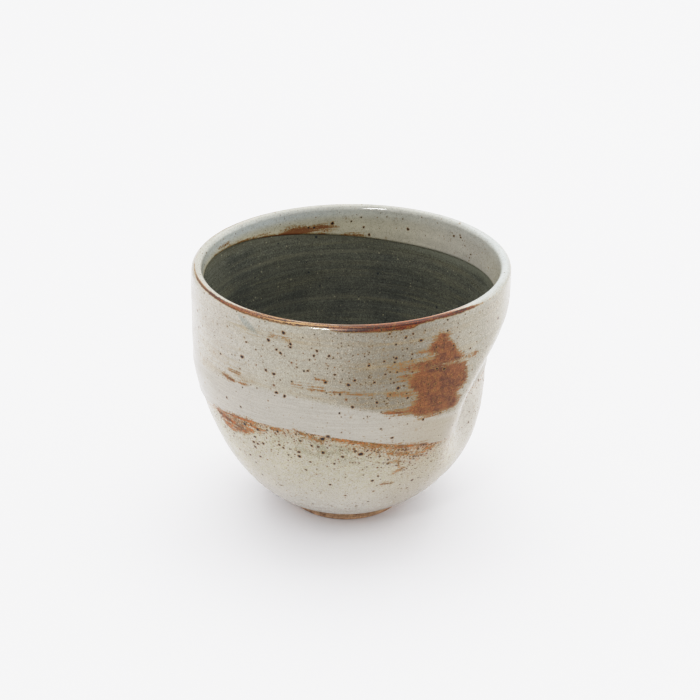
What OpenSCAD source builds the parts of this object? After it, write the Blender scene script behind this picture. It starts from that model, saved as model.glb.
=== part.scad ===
// A small thrown sake cup with a thumb dent, a bare turned foot and two lapped coats of glaze.
// Millimetres, Z up. The cup stands on Z = 0 and the origin is the centre of its foot.
// Angles go round the cup from +X towards +Y, and the side seen in use is towards -Y.

/* [Cup] */
// Overall height over the glazed lip
cup_h = 58.9; // [55:0.1:64]
// Widest radius of the glazed body
belly_r = 35; // [32:0.1:38]
// How far the glazed lip stands inside the widest radius
lip_inset = 0.1; // [-2:0.1:2]
// Height of the widest place
belly_h = 41.8; // [38:0.1:46]
// Radius at which the belly curve would run level, hidden over the foot
belly_root_r = 12.3; // [10:0.1:13.3]
// Exponent of the outer belly curve: 2 is an ellipse, less is a straighter flank
belly_fullness = 1.72; // [1.5:0.01:2.2]
// How far the lip stands to the +X side of the foot, as thrown
lean = 1.2; // [0:0.1:3]

/* [Wall] */
// Clay thickness at the widest place
wall_t = 2.6; // [2:0.1:3.5]
// Clay thickness at the lip
lip_t = 2; // [1.6:0.1:2.6]
// Clay thickness at the middle of the floor
floor_t = 4.6; // [3:0.1:6]
// Exponent of the inner curve
inner_fullness = 2.2; // [2:0.01:2.5]

/* [Foot] */
// Outer radius of the foot ring
foot_r = 13.8; // [13.5:0.1:16]
// Height of the foot ring
foot_h = 2.8; // [2.2:0.1:4]
// Width of the foot ring where it rests
foot_w = 3.2; // [2.4:0.1:4]
// How much the recess narrows from the rest to the floor above it
recess_draft = 0.8; // [0.2:0.1:1.5]
// Bevel on the resting edges
foot_bevel = 0.4; // [0.2:0.05:0.6]

/* [Thumb dent] */
// Depth of the dent at its middle
dent_depth = 7.1; // [4:0.1:9]
// Angle round the cup of its middle, in degrees
dent_angle = -20; // [-60:1:60]
// Height of its middle
dent_z = 30.5; // [28:0.1:34]
// Reach from the middle towards the front
dent_front = 22.3; // [16:0.1:26]
// Reach from the middle towards the back
dent_back = 32; // [20:0.1:36]
// Reach from the middle downwards
dent_below = 15; // [11:0.1:17]
// Reach from the middle upwards
dent_above = 20.4; // [15:0.1:24]
// Tilt of the dent's long axis from level, in degrees
dent_tilt = 21.6; // [0:0.1:35]
// Exponent of its hollow: more is softer at the edge and tighter in the middle
dent_softness = 2.4; // [2:0.1:3]

/* [Glaze coats] */
// Thickness of the lower coat outside
lower_coat_t = 0.3; // [0.2:0.05:0.5]
// Thickness of the upper coat, outside and inside the lip
upper_coat_t = 0.3; // [0.2:0.05:0.5]
// Thickness of the dark coat inside
inner_coat_t = 0.3; // [0.2:0.05:0.5]
// Part of the upper coat that stays on the lip itself, where it runs thin
lip_coat_share = 0.6; // [0.4:0.05:1]
// Bare clay left between the foot and the lower coat, along the radius
foot_bare = 0.5; // [0.2:0.1:1.5]

/* [Lap of the two coats] */
// Height of the lap's lower edge, where the upper coat ends
lap_h = 31.2; // [29:0.1:33]
// Width of the lap, up to the end of the lower coat beneath
lap_w = 7.7; // [6:0.1:9]
// Rise of the edge on one side, as the cup was dipped at a slant
lap_lean = 1.5; // [0:0.1:2]
// Angle of that rise, in degrees
lap_lean_angle = -166; // [-180:1:180]
// Rise of the edge on two opposite sides
lap_sway = 1.3; // [0:0.1:2]
// Angle of that rise, in degrees
lap_sway_angle = -115; // [-180:1:180]
// Rise of the edge on three even sides
lap_ripple = 1.3; // [0:0.1:1.6]
// Angle of that rise, in degrees
lap_ripple_angle = 15; // [-180:1:180]
// How much wider than that the lap is at its widest
lap_spread = 1.2; // [0:0.1:2]
// Angle of its widest place, in degrees
lap_spread_angle = 180; // [-180:1:180]

/* [Inner edge of the upper coat] */
// Depth of the edge below the lip
dip_depth = 6.9; // [5.5:0.1:9]
// Rise of the edge on one side
dip_lean = 1.9; // [0:0.1:2.2]
// Angle of that rise, in degrees
dip_lean_angle = 172; // [-180:1:180]
// Rise of the edge on two opposite sides
dip_sway = 1.2; // [0:0.1:1.5]
// Angle of that rise, in degrees
dip_sway_angle = -13; // [-180:1:180]

/* [Smoothness] */
// Columns round the cup
columns = 60; // [48:6:66]
// Facets round the foot ring
$fn = 96; // [64:8:128]

/* [Hidden] */

// Strips of the wall's outline between its landmarks, from the foot round the lip to the floor
flank_rows = 9;
lap_rows = 4;
shoulder_rows = 6;
lip_rows = 6;
collar_rows = 3;
well_rows = 14;

// Numbers of the landmark rows
foot_line = 1;
lap_low = foot_line + flank_rows;
lap_top = lap_low + lap_rows;
lip_out = lap_top + shoulder_rows;
lip_in = lip_out + lip_rows;
liner_edge = lip_in + 1;
dip_line = lip_in + collar_rows;
floor_row = dip_line + well_rows;
last_ring = floor_row - 1;

// The two curves run over a quarter turn up to the widest place, then over this much for the rest
quarter = 90;
shoulder_span = 30;

// Clay sizes under the coats
clay_belly_r = belly_r - upper_coat_t;
clay_lip_r = clay_belly_r - lip_inset;
clay_h = cup_h - upper_coat_t * lip_coat_share;
lip_round = lip_t / 2;
lip_z = clay_h - lip_round;
floor_z = foot_h + floor_t;
well_belly_r = clay_belly_r - wall_t;
well_lip_r = clay_lip_r - lip_t;
belly_power = 2 / belly_fullness;
well_power = 2 / inner_fullness;
root_angle = asin(pow((foot_r - belly_root_r) / (clay_belly_r - belly_root_r), 1 / belly_power));
root_cos = pow(cos(root_angle), belly_power);
bare_angle = asin(pow((foot_r + foot_bare - belly_root_r) / (clay_belly_r - belly_root_r), 1 / belly_power));

// A smooth step from 0 to 1
function ease(t) = t * t * (3 - 2 * t);

// One wave round the cup that crests at an angle
function wave(times, rise, crest, a) = rise * cos(times * (a - crest));

// Heights of the landmark lines at an angle round the cup
function lap_low_z(a) = lap_h + wave(1, lap_lean, lap_lean_angle, a)
    + wave(2, lap_sway, lap_sway_angle, a) + wave(3, lap_ripple, lap_ripple_angle, a);
function lap_top_z(a) = lap_low_z(a) + lap_w + wave(1, lap_spread, lap_spread_angle, a);
function dip_z(a) = cup_h - dip_depth + wave(1, dip_lean, dip_lean_angle, a)
    + wave(2, dip_sway, dip_sway_angle, a);

// The clay's outer curve as [radius, height], where u is an angle up to the widest place
function belly_point(u) = [
    belly_root_r + (clay_belly_r - belly_root_r) * pow(sin(u), belly_power),
    belly_h - (belly_h - foot_h) * pow(cos(u), belly_power) / root_cos];
function shoulder_point(t) = [
    clay_belly_r + (clay_lip_r - clay_belly_r) * ease(t),
    belly_h + (lip_z - belly_h) * t];
function outer_point(u) = u < quarter ? belly_point(u) : shoulder_point((u - quarter) / shoulder_span);

// The place on that curve at a height
function outer_u(z) = z < belly_h
    ? acos(pow((belly_h - z) / (belly_h - foot_h) * root_cos, 1 / belly_power))
    : quarter + shoulder_span * (z - belly_h) / (lip_z - belly_h);

// The clay's inner curve, from the middle of the floor up to the lip
function well_point(u) = [
    well_belly_r * pow(sin(u), well_power),
    belly_h - (belly_h - floor_z) * pow(cos(u), well_power)];
function collar_point(t) = [
    well_belly_r + (well_lip_r - well_belly_r) * ease(t),
    belly_h + (lip_z - belly_h) * t];
function inner_point(u) = u < quarter ? well_point(u) : collar_point((u - quarter) / shoulder_span);
function inner_u(z) = z < belly_h
    ? acos(pow((belly_h - z) / (belly_h - floor_z), 1 / well_power))
    : quarter + shoulder_span * (z - belly_h) / (lip_z - belly_h);

// The rounded lip, from its outside at t = 0 to its inside at t = 1
function lip_point(t) = [
    clay_lip_r - lip_round + lip_round * cos(2 * quarter * t),
    lip_z + lip_round * sin(2 * quarter * t)];

// Points of one stretch of outline, without its first one
function outer_stretch(from, to, count) = [for (k = [1:count]) outer_point(from + (to - from) * k / count)];
function inner_stretch(from, to, count) = [for (k = [1:count]) inner_point(from + (to - from) * k / count)];

// The clay's outline at an angle round the cup, from the foot over the lip to the middle of the floor
function outline(a) = let (
    top_u = quarter + shoulder_span,
    low_u = outer_u(lap_low_z(a)),
    high_u = outer_u(lap_top_z(a)),
    dip_u = inner_u(dip_z(a)))
    [each [outer_point(root_angle), outer_point(bare_angle)],
    each outer_stretch(bare_angle, low_u, flank_rows),
    each outer_stretch(low_u, high_u, lap_rows),
    each outer_stretch(high_u, top_u, shoulder_rows),
    each [for (k = [1:lip_rows]) lip_point(k / lip_rows)],
    each inner_stretch(top_u, dip_u, collar_rows),
    each inner_stretch(dip_u, 0, well_rows)];

// The direction away from the clay at one row of an outline
function away(line, i) = let (
    step = line[min(i + 1, floor_row)] - line[max(i - 1, 0)])
    [step.y, -step.x] / norm(step);

// Depth pressed in by the thumb
function turn_from(a, b) = a - b - 360 * round((a - b) / 360);
function dent(a, z) = let (
    s = turn_from(a, dent_angle) * PI / 180 * belly_r,
    t = z - dent_z,
    along = s * cos(dent_tilt) + t * sin(dent_tilt),
    across = t * cos(dent_tilt) - s * sin(dent_tilt),
    far = pow(along / (along < 0 ? dent_front : dent_back), 2)
        + pow(across / (across < 0 ? dent_below : dent_above), 2))
    far < 1 ? dent_depth * pow(1 - far, dent_softness) : 0;

// A point of the outline put in its place on the dented, leaning cup
function place(a, p) = let (
    r = p.x - dent(a, p.y),
    shift = lean * max(0, p.y - foot_h) / (cup_h - foot_h))
    [r * cos(a) + shift, r * sin(a), p.y];

angles = [for (j = [0:columns - 1]) 360 * j / columns];
outlines = [for (a = angles) outline(a)];
aways = [for (line = outlines) [for (i = [0:floor_row]) away(line, i)]];

// One ring of points round the cup, at a row and a distance off the clay
function ring(i, off) = [for (j = [0:columns - 1]) place(angles[j], outlines[j][i] + off * aways[j][i])];
function middle(off) = place(0, outlines[0][floor_row] + [0, off]);

// Thickness of each coat at a row: it runs out to nothing at its two edges
function lower_t(i) = i > foot_line && i < lap_top ? lower_coat_t : 0;
function upper_t(i) = i > lap_low && i < dip_line
    ? upper_coat_t * (i > lip_out && i < lip_in ? lip_coat_share : 1) : 0;
function inner_t(i) = i > liner_edge ? inner_coat_t : 0;

// Triangles between two rings that start at points p and q, the second higher in row number
function strip(p, q, inward) = [for (j = [0:columns - 1]) let (k = (j + 1) % columns)
    each inward ? [[p + j, p + k, q + k], [p + j, q + k, q + j]]
    : [[p + j, q + k, p + k], [p + j, q + j, q + k]]];

// Triangles from a ring to one point
function fan(p, tip, inward) = [for (j = [0:columns - 1]) let (k = (j + 1) % columns)
    inward ? [p + j, p + k, tip] : [p + j, tip, p + k]];

// A closed coat from row a to row b, between one distance off the clay and another
module coat(a, b, under, over) {
    rows = b - a;
    face = [for (i = [a:b]) each ring(i, over[i])];
    back = [for (i = [a + 1:b - 1]) each ring(i, under[i])];
    function back_ring(n) = columns * (n == 0 || n == rows ? n : rows + n);
    polyhedron(points = concat(face, back), faces = [
        each [for (n = [0:rows - 1]) each strip(columns * n, columns * (n + 1), false)],
        each [for (n = [0:rows - 1]) each strip(back_ring(n), back_ring(n + 1), true)]]);
}

// The thrown wall and floor, with the flat underside that sits on the foot ring
module clay_bowl() {
    rings = floor_row;
    under = columns * rings;
    color("tan") polyhedron(
        points = [each [for (i = [0:last_ring]) each ring(i, 0)], [0, 0, foot_h], middle(0)],
        faces = [
            each fan(0, under, true),
            each [for (n = [0:rings - 2]) each strip(columns * n, columns * (n + 1), false)],
            each fan(columns * (rings - 1), under + 1, false)]);
}

// The bare turned foot, flat where it rests
module foot_ring() {
    rest_in_r = foot_r - foot_w;
    recess_top_r = rest_in_r - recess_draft;
    color("peru") rotate_extrude() polygon([
        [rest_in_r + foot_bevel, 0],
        [foot_r - foot_bevel, 0],
        [foot_r, foot_bevel],
        [foot_r, foot_h],
        [recess_top_r, foot_h],
        [rest_in_r, foot_bevel]]);
}

// The first pale coat, from just above the foot to the top of the lap
module lower_glaze() {
    rows = [for (i = [0:floor_row]) i];
    color("gainsboro") coat(foot_line, lap_top, [for (i = rows) 0], [for (i = rows) lower_t(i)]);
}

// The second pale coat, from the lap up over the lip and down inside
module upper_glaze() {
    rows = [for (i = [0:floor_row]) i];
    under = [for (i = rows) lower_t(i) + inner_t(i)];
    color("lightgray") coat(lap_low, dip_line, under, [for (i = rows) under[i] + upper_t(i)]);
}

// The dark coat inside, from under the upper coat's edge to the middle of the floor
module inner_glaze() {
    rings = floor_row - liner_edge;
    middles = columns * (2 * rings - 1);
    function back_ring(n) = n == 0 ? 0 : columns * (rings - 1 + n);
    color("darkslategray") polyhedron(
        points = [
            each [for (i = [liner_edge:last_ring]) each ring(i, inner_t(i))],
            each [for (i = [liner_edge + 1:last_ring]) each ring(i, 0)],
            middle(inner_coat_t), middle(0)],
        faces = [
            each [for (n = [0:rings - 2]) each strip(columns * n, columns * (n + 1), false)],
            each fan(columns * (rings - 1), middles, false),
            each [for (n = [0:rings - 2]) each strip(back_ring(n), back_ring(n + 1), true)],
            each fan(back_ring(rings - 1), middles + 1, true)]);
}

clay_bowl();
foot_ring();
lower_glaze();
upper_glaze();
inner_glaze();
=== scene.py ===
"""A small thrown sake cup with a thumb dent, in two lapped pale coats over bare clay and a dark liner."""
import logging
import math
from dataclasses import dataclass, field
from enum import Enum
from typing import Callable

import bpy
import numpy as np
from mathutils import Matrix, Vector


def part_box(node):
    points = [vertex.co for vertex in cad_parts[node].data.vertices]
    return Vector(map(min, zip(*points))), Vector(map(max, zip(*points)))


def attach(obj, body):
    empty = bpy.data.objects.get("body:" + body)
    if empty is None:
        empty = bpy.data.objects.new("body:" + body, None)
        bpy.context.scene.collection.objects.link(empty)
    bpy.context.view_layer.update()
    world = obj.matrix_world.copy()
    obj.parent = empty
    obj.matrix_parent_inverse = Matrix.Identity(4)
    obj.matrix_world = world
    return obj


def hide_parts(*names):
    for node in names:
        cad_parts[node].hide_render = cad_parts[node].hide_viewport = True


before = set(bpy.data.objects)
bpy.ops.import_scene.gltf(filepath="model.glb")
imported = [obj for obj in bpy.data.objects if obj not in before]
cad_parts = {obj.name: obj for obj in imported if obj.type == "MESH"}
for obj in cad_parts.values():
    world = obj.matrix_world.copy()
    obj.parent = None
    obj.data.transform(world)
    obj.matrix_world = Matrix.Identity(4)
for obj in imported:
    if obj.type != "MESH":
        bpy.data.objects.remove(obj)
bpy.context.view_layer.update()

LOG = logging.getLogger("sake_cup")

MM = 0.001
IMAGE_SIDE = 700
SENSOR_MM = 36.0
QUARTER = math.pi / 2
FAR_OFF = 9.0

Array = np.ndarray
Triple = tuple[float, float, float]
Colour = tuple[float, float, float, float]
Socket = bpy.types.NodeSocket
Feed = Socket | float | tuple[float, ...]
Fields = dict[str, Array]
Thickness = Callable[[Array, Array], Array]


class Slot(Enum):
    """The record's material slots."""

    CLAY = "bare_clay"
    PALE = "pale_glaze"
    DARK = "dark_glaze"


def smooth(value: Array, low: float, high: float) -> Array:
    """Smooth step from 0 at low to 1 at high, downwards where low is above high."""
    t = np.clip((value - low) / (high - low), 0, 1)
    return t * t * (3 - 2 * t)


def hump(value: Array, middle: float, reach: float) -> Array:
    """Bell curve that is 1 at the middle, with its reach as the standard deviation."""
    return np.exp(-0.5 * ((value - middle) / reach) ** 2)


def turn_from(turn: Array, angle: float) -> Array:
    """Turn in radians from an angle in degrees, the short way round."""
    return (turn - math.radians(angle) + math.pi) % (2 * math.pi) - math.pi


def side_from(turn: Array, angle: float) -> Array:
    """Turn in degrees from an angle in degrees, the short way round."""
    return np.degrees(turn_from(turn, angle))


def facing(turn: Array, angle: float, reach: float) -> Array:
    """Bell curve over the turns round an angle, with the angle and the reach in degrees."""
    return hump(side_from(turn, angle), 0, reach)


def uneven(x: Array, y: Array, w: Array, reach: Triple, seed: int) -> Array:
    """Smooth seeded unevenness, made of plane waves of about one size.

    Args:
        x: First coordinate of each point, in mm.
        y: Second coordinate of each point, in mm.
        w: Third coordinate of each point, in mm.
        reach: Size of the bumps along each coordinate, in mm.
        seed: Seed of the wave directions.

    Returns:
        A height for each point, mostly between -1 and 1.
    """
    waves = 20
    draw = np.random.default_rng(seed)
    pitch = draw.normal(size=(waves, 3)) / np.array(reach)
    start = draw.uniform(0, 2 * math.pi, waves)
    total = np.zeros_like(x)
    for (kx, ky, kw), offset in zip(pitch, start):
        total += np.sin(kx * x + ky * y + kw * w + offset)
    return total / math.sqrt(2 * waves)


@dataclass(frozen=True)
class Wave:
    """One wave round the cup.

    Attributes:
        times: How often it crests.
        rise: Its height in mm.
        crest: Angle of its first crest, in degrees.
    """

    times: int
    rise: float
    crest: float

    def at(self, turn: Array) -> Array:
        """Heights of the wave at these turns, in mm."""
        return self.rise * np.cos(self.times * (turn - math.radians(self.crest)))


@dataclass(frozen=True)
class GlazeLine:
    """A line round the cup where a coat ends.

    Attributes:
        height: Its mean height above the rest, in mm.
        waves: The waves on it.
    """

    height: float
    waves: tuple[Wave, ...]

    def at(self, turn: Array) -> Array:
        """Heights of the line at these turns, in mm."""
        return self.height + sum(wave.at(turn) for wave in self.waves)


@dataclass(frozen=True)
class ThumbDent:
    """The hollow that a thumb pressed into the wall, in mm and degrees."""

    depth: float = 7.1
    angle: float = -20
    height: float = 30.5
    front: float = 22.3
    back: float = 32.0
    below: float = 15.0
    above: float = 20.4
    tilt: float = 21.6
    softness: float = 2.4

    def press(self, turn: Array, height: Array, radius: float) -> Array:
        """How far the wall is pressed in.

        Args:
            turn: Angles round the cup in radians.
            height: Heights in mm.
            radius: The cup's widest radius in mm.

        Returns:
            The depth at each place in mm.
        """
        side = turn_from(turn, self.angle) * radius
        rise = height - self.height
        cos, sin = math.cos(math.radians(self.tilt)), math.sin(math.radians(self.tilt))
        along = side * cos + rise * sin
        across = rise * cos - side * sin
        far = (along / np.where(along < 0, self.front, self.back)) ** 2
        far = far + (across / np.where(across < 0, self.below, self.above)) ** 2
        return self.depth * np.clip(1 - far, 0, 1) ** self.softness


@dataclass
class ThrownForm:
    """The thrown wall as one outline, from the foot over the lip to the middle of the floor.

    The sizes are the CAD model's, in mm. A place on the clay is a turn round the cup and a run, the
    distance along the outline from the foot.
    """

    cup_h: float = field(default_factory=lambda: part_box("upper_glaze")[1].z / MM)
    foot_r: float = field(default_factory=lambda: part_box("foot_ring")[1].x / MM)
    foot_h: float = field(default_factory=lambda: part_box("foot_ring")[1].z / MM)
    belly_r: float = 35.0
    lip_inset: float = 0.1
    belly_h: float = 41.8
    belly_root_r: float = 12.3
    belly_fullness: float = 1.72
    lean: float = 1.2
    wall_t: float = 2.6
    lip_t: float = 2.0
    floor_t: float = 4.6
    inner_fullness: float = 2.2
    foot_bare: float = 0.5
    coat_t: float = 0.3
    lip_coat_share: float = 0.6
    dent: ThumbDent = ThumbDent()
    lap_waves: tuple[Wave, ...] = (Wave(1, 1.5, -166), Wave(2, 1.3, -115), Wave(3, 1.3, 15))
    lap_h: float = 31.2
    lap_w: float = 7.7
    lap_spread: Wave = Wave(1, 1.2, 180)
    dip_depth: float = 6.9
    dip_waves: tuple[Wave, ...] = (Wave(1, 1.9, 172), Wave(2, 1.2, -13))
    throwing_outside: float = 0.035
    throwing_inside: float = 0.04
    unevenness: float = 0.07
    relief_r: float = 30.0
    outline_steps: int = 600

    def __post_init__(self) -> None:
        """Traces the outline and notes where its landmarks lie."""
        self.lap_low = GlazeLine(self.lap_h, self.lap_waves)
        self.lap_top = GlazeLine(self.lap_h + self.lap_w, self.lap_waves + (self.lap_spread,))
        self.dip = GlazeLine(self.cup_h - self.dip_depth, self.dip_waves)
        clay_r = self.belly_r - self.coat_t
        lip_r = clay_r - self.lip_inset
        self.lip_round = self.lip_t / 2
        lip_z = self.cup_h - self.coat_t * self.lip_coat_share - self.lip_round
        steps = np.linspace(0, 1, self.outline_steps)
        power = 2 / self.belly_fullness
        start = math.asin(((self.foot_r - self.belly_root_r) / (clay_r - self.belly_root_r)) ** (1 / power))
        u = start + (QUARTER - start) * steps
        belly = (
            self.belly_root_r + (clay_r - self.belly_root_r) * np.sin(u) ** power,
            self.belly_h - (self.belly_h - self.foot_h) * (np.cos(u) / math.cos(start)) ** power,
        )
        ease = steps * steps * (3 - 2 * steps)
        shoulder = clay_r + (lip_r - clay_r) * ease, self.belly_h + (lip_z - self.belly_h) * steps
        round_lip = (
            lip_r - self.lip_round + self.lip_round * np.cos(math.pi * steps),
            lip_z + self.lip_round * np.sin(math.pi * steps),
        )
        well_r = clay_r - self.wall_t
        well_lip_r = lip_r - self.lip_t
        collar = (well_r + (well_lip_r - well_r) * ease)[::-1], shoulder[1][::-1]
        power = 2 / self.inner_fullness
        u = QUARTER * steps[::-1]
        floor_z = self.foot_h + self.floor_t
        well = well_r * np.sin(u) ** power, self.belly_h - (self.belly_h - floor_z) * np.cos(u) ** power
        self._join(belly, shoulder, round_lip, collar, well)

    def _join(self, *stretches: tuple[Array, Array]) -> None:
        """Joins the stretches of the outline into one line, with its runs and directions.

        Args:
            stretches: Radii and heights of each stretch, from the foot to the middle of the floor.
        """
        radii = np.concatenate([stretches[0][0]] + [s[0][1:] for s in stretches[1:]])
        heights = np.concatenate([stretches[0][1]] + [s[1][1:] for s in stretches[1:]])
        heights = np.nan_to_num(heights, nan=self.belly_h)
        runs = np.concatenate([[0], np.cumsum(np.hypot(np.diff(radii), np.diff(heights)))])
        ends = np.cumsum([len(s[0]) - 1 for s in stretches])
        _, self.lip_out, self.lip_in, _, self.length = (runs[i] for i in ends)
        self.lip_mid = (self.lip_out + self.lip_in) / 2
        self.outline = runs, radii, heights
        step_r, step_z = np.gradient(radii, runs), np.gradient(heights, runs)
        size = np.hypot(step_r, step_z)
        self.away = step_z / size, -step_r / size
        self.crown = int(np.argmax(heights))

    def run_outside(self, height: Array) -> Array:
        """Runs at which the outside has these heights."""
        runs, _, heights = self.outline
        return np.interp(height, heights[:self.crown], runs[:self.crown])

    def run_inside(self, height: Array) -> Array:
        """Runs at which the inside has these heights."""
        runs, _, heights = self.outline
        return np.interp(height, heights[:self.crown:-1], runs[:self.crown:-1])

    def height(self, run: Array) -> Array:
        """Heights of the clay at these runs, in mm."""
        return np.interp(run, self.outline[0], self.outline[2])

    def radius(self, run: Array) -> Array:
        """Radii of the clay at these runs before the dent, in mm."""
        return np.interp(run, self.outline[0], self.outline[1])

    def relief(self, turn: Array, run: Array) -> Array:
        """The throwing lines and unevenness that fingers left.

        Args:
            turn: Angles round the cup in radians.
            run: Runs along the outline in mm.

        Returns:
            How far the clay stands out at each place, in mm.
        """
        inside = smooth(run, self.lip_mid - 1, self.lip_mid + 6)
        calm = smooth(run, 0, 4) * smooth(np.abs(run - self.lip_mid), 1.5, 6)
        x, y = self.relief_r * np.cos(turn), self.relief_r * np.sin(turn)
        rings = uneven(x, y, run, (60, 60, 0.55), 11) * self.throwing_outside * (1 - inside)
        rings += uneven(x, y, run, (70, 70, 1.4), 12) * self.throwing_inside * inside
        rings += uneven(x, y, run, (24, 24, 5), 13) * self.unevenness
        middle = smooth(self.length - run, 0, 5)
        return rings * calm * middle

    def place(self, turn: Array, run: Array, off: Array | float) -> Array:
        """Points off the clay, on the dented and leaning cup.

        Args:
            turn: Angles round the cup in radians.
            run: Runs along the outline in mm.
            off: Distance off the clay in mm.

        Returns:
            The points in mm, with their coordinates along the last axis.
        """
        runs, radii, heights = self.outline
        off = off + self.relief(turn, run)
        radius = np.interp(run, runs, radii) + off * np.interp(run, runs, self.away[0])
        height = np.interp(run, runs, heights) + off * np.interp(run, runs, self.away[1])
        radius = radius - self.dent.press(turn, height, self.belly_r)
        shift = self.lean * np.maximum(0, height - self.foot_h) / (self.cup_h - self.foot_h)
        return np.stack([radius * np.cos(turn) + shift, radius * np.sin(turn), height], -1)


@dataclass(frozen=True)
class Streak:
    """A dry dash of iron that ran round with the wheel.

    Attributes:
        start: Angle of its left end, in degrees.
        end: Angle of its right end, in degrees.
        height: Height of its middle in mm.
        width: Its width in mm.
        rise: How far its right end stands above its left end, in mm.
        pale: Whether it is a bare gap in the iron, not iron.
    """

    start: float
    end: float
    height: float
    width: float
    rise: float = 0.0
    pale: bool = False

    def inside(self, turn: Array, height: Array, radius: float) -> Array:
        """How deep each place lies inside the dash, in mm, less than 0 outside it.

        Args:
            turn: Angles round the cup in radians.
            height: Heights in mm.
            radius: Radius that turns angles to lengths, in mm.

        Returns:
            The depths.
        """
        half = math.radians(self.end - self.start) / 2 * radius
        side = turn_from(turn, (self.start + self.end) / 2) * radius
        drop = height - self.height - self.rise * side / (2 * half)
        taper = 1 - np.clip(np.abs(side) / half, 0, 1) ** 2
        past = np.maximum(np.abs(side) - half, 0)
        return self.width / 2 * taper - np.hypot(drop, past)


@dataclass(frozen=True)
class Blot:
    """A patch of bare iron with a drawn outline.

    Attributes:
        outline: Its corners as angles in degrees and heights in mm.
        most: The most that its depth counts for, in mm. A little leaves the patch thin and broken.
        pale: Whether it is a bare gap in the iron, not iron.
    """

    outline: tuple[tuple[float, float], ...]
    most: float = FAR_OFF
    pale: bool = False

    def inside(self, turn: Array, height: Array, radius: float) -> Array:
        """How deep each place lies inside the patch, in mm, less than 0 outside it.

        Args:
            turn: Angles round the cup in radians.
            height: Heights in mm.
            radius: Radius that turns angles to lengths, in mm.

        Returns:
            The depths.
        """
        home = sum(angle for angle, _ in self.outline) / len(self.outline)
        side = turn_from(turn, home) * radius
        drawn = [(math.radians(angle - home) * radius, z) for angle, z in self.outline]
        nearest = np.full(side.shape, np.inf)
        within = np.zeros(side.shape, bool)
        for (ax, ay), (bx, by) in zip(drawn, drawn[1:] + drawn[:1]):
            dx, dy = bx - ax, by - ay
            t = np.clip(((side - ax) * dx + (height - ay) * dy) / (dx * dx + dy * dy), 0, 1)
            nearest = np.minimum(nearest, np.hypot(side - ax - t * dx, height - ay - t * dy))
            if dy:
                crossed = (ay > height) != (by > height)
                within ^= crossed & (side < ax + (height - ay) * dx / dy)
        return np.where(within, np.minimum(nearest, self.most), -nearest)


@dataclass(frozen=True)
class Course:
    """Two values that change round the cup.

    Attributes:
        marks: An angle in degrees and both values there, for each mark in the order of the angles.
    """

    marks: tuple[Triple, ...]

    def at(self, turn: Array) -> tuple[Array, Array]:
        """Both values at these turns.

        Args:
            turn: Angles round the cup in radians.

        Returns:
            The first values and the second ones.
        """
        angles, first, second = zip(*self.marks)
        here = side_from(turn, 0)
        return np.interp(here, angles, first), np.interp(here, angles, second)


IRON_BLOTS = (
    Blot((
        (-59, 55.6), (-56, 54.5), (-54, 52.5), (-52, 51), (-51, 49.5), (-48.5, 48.5), (-51, 47.5),
        (-47.5, 46.5), (-46.5, 44.5), (-46.5, 42.5), (-50.5, 41), (-51, 39.5), (-49, 38.5), (-51, 37.2),
        (-58, 36.8), (-65, 37.2), (-70.5, 39), (-68.5, 40.5), (-66.5, 42), (-68.5, 44), (-70.5, 45.5),
        (-69.5, 47.2), (-66, 48.4), (-72, 49.2), (-70, 50), (-63, 50.2), (-63.5, 52.2), (-61.5, 54.2),
    )),
    Blot((
        (-147, 32.6), (-139, 33.2), (-130, 34.1), (-126, 34.1), (-125.5, 32.4), (-127, 31.2),
        (-131, 29.9), (-138.5, 28.6), (-142, 29.2), (-144.5, 30.6),
    ), most=0.14),
)

# Dry dashes of iron on the outside, then the gaps in it: the fields of Streak in their order.
IRON_STREAKS = (
    (-77, -58, 49.3, 1.3, -0.4), (-67, -61, 52.2, 0.1, 0.2), (-77, -63, 43.4, 0.6, -0.3),
    (-78, -66, 39.0, 0.7, -0.9), (-74, -63, 47.0, 0.7), (-52, -42, 47.9, -0.2, -0.1),
    (-138.5, -133.5, 42.5, 0.2, -0.2), (-135, -131, 44.5, -0.5), (-130, -127.5, 42.9, -0.1),
    (-109, -106.5, 45.5, -0.3), (-103, -99, 45.2, -0.2, -0.2), (-95.5, -92, 44.7, -0.35),
    (-91, -83, 44.2, -0.45, -0.5), (-117, -111, 55.4, -0.35), (-101, -98.5, 47.2, -0.5),
    (-74.5, -70.5, 26.1, 0.3, -0.1), (-71.2, -69.6, 24.9, 1.0, -1.4), (-71.8, -68.5, 23.0, 0.5, 1.0),
    (-75.5, -71.5, 19.1, -0.1, -0.2), (-146, -131, 32.9, 0.8, 1.0), (-143, -134, 31.2, 0.7, 0.3),
    (-141, -132, 30.0, 0.5, 0.2), (-127, -120.5, 32.6, 1.1, -0.5), (-118, -114, 33.7, 0.4, 0.6),
    (-138, -130, 29.2, -0.2, 0.4), (-109, -99.5, 33.6, 0.3, -2.6), (-95, -77, 32.4, 0.4, -1.8),
    (-84, -61, 30.4, 0.8, -1.1), (-76, -66, 28.2, 0.2, -1.8), (-66.5, -58, 27.4, 0.1, 0.9),
    (88, 116, 44.6, 4.2, -0.8), (80, 100, 42.4, 1.6, 0.6), (104, 128, 41.9, 1.2), (92, 108, 47.6, 1.3),
    (146, 157, 44.1, 1.0, 0.4), (160, 166, 46.0, 0.6), (48, 58, 43.3, 0.9, -0.3), (24, 33, 47.8, 0.7),
    (38, 62, 29.2, 1.3, 0.5), (150, 176, 29.8, 1.1, 0.8), (120, 132, 27.9, 0.7),
)

IRON_GAPS = (
    (-68, -52, 48.2, -0.35, -0.8), (-67, -60, 50.6, 1.3, 0.2), (-140, -127, 31.9, 0.25, 0.9),
    (-138, -128, 30.6, 0.3, 0.4),
)

IRON_OUTSIDE: tuple[Streak | Blot, ...] = (
    *IRON_BLOTS,
    *(Streak(*mark) for mark in IRON_STREAKS),
    *(Streak(*mark, pale=True) for mark in IRON_GAPS),
)

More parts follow.
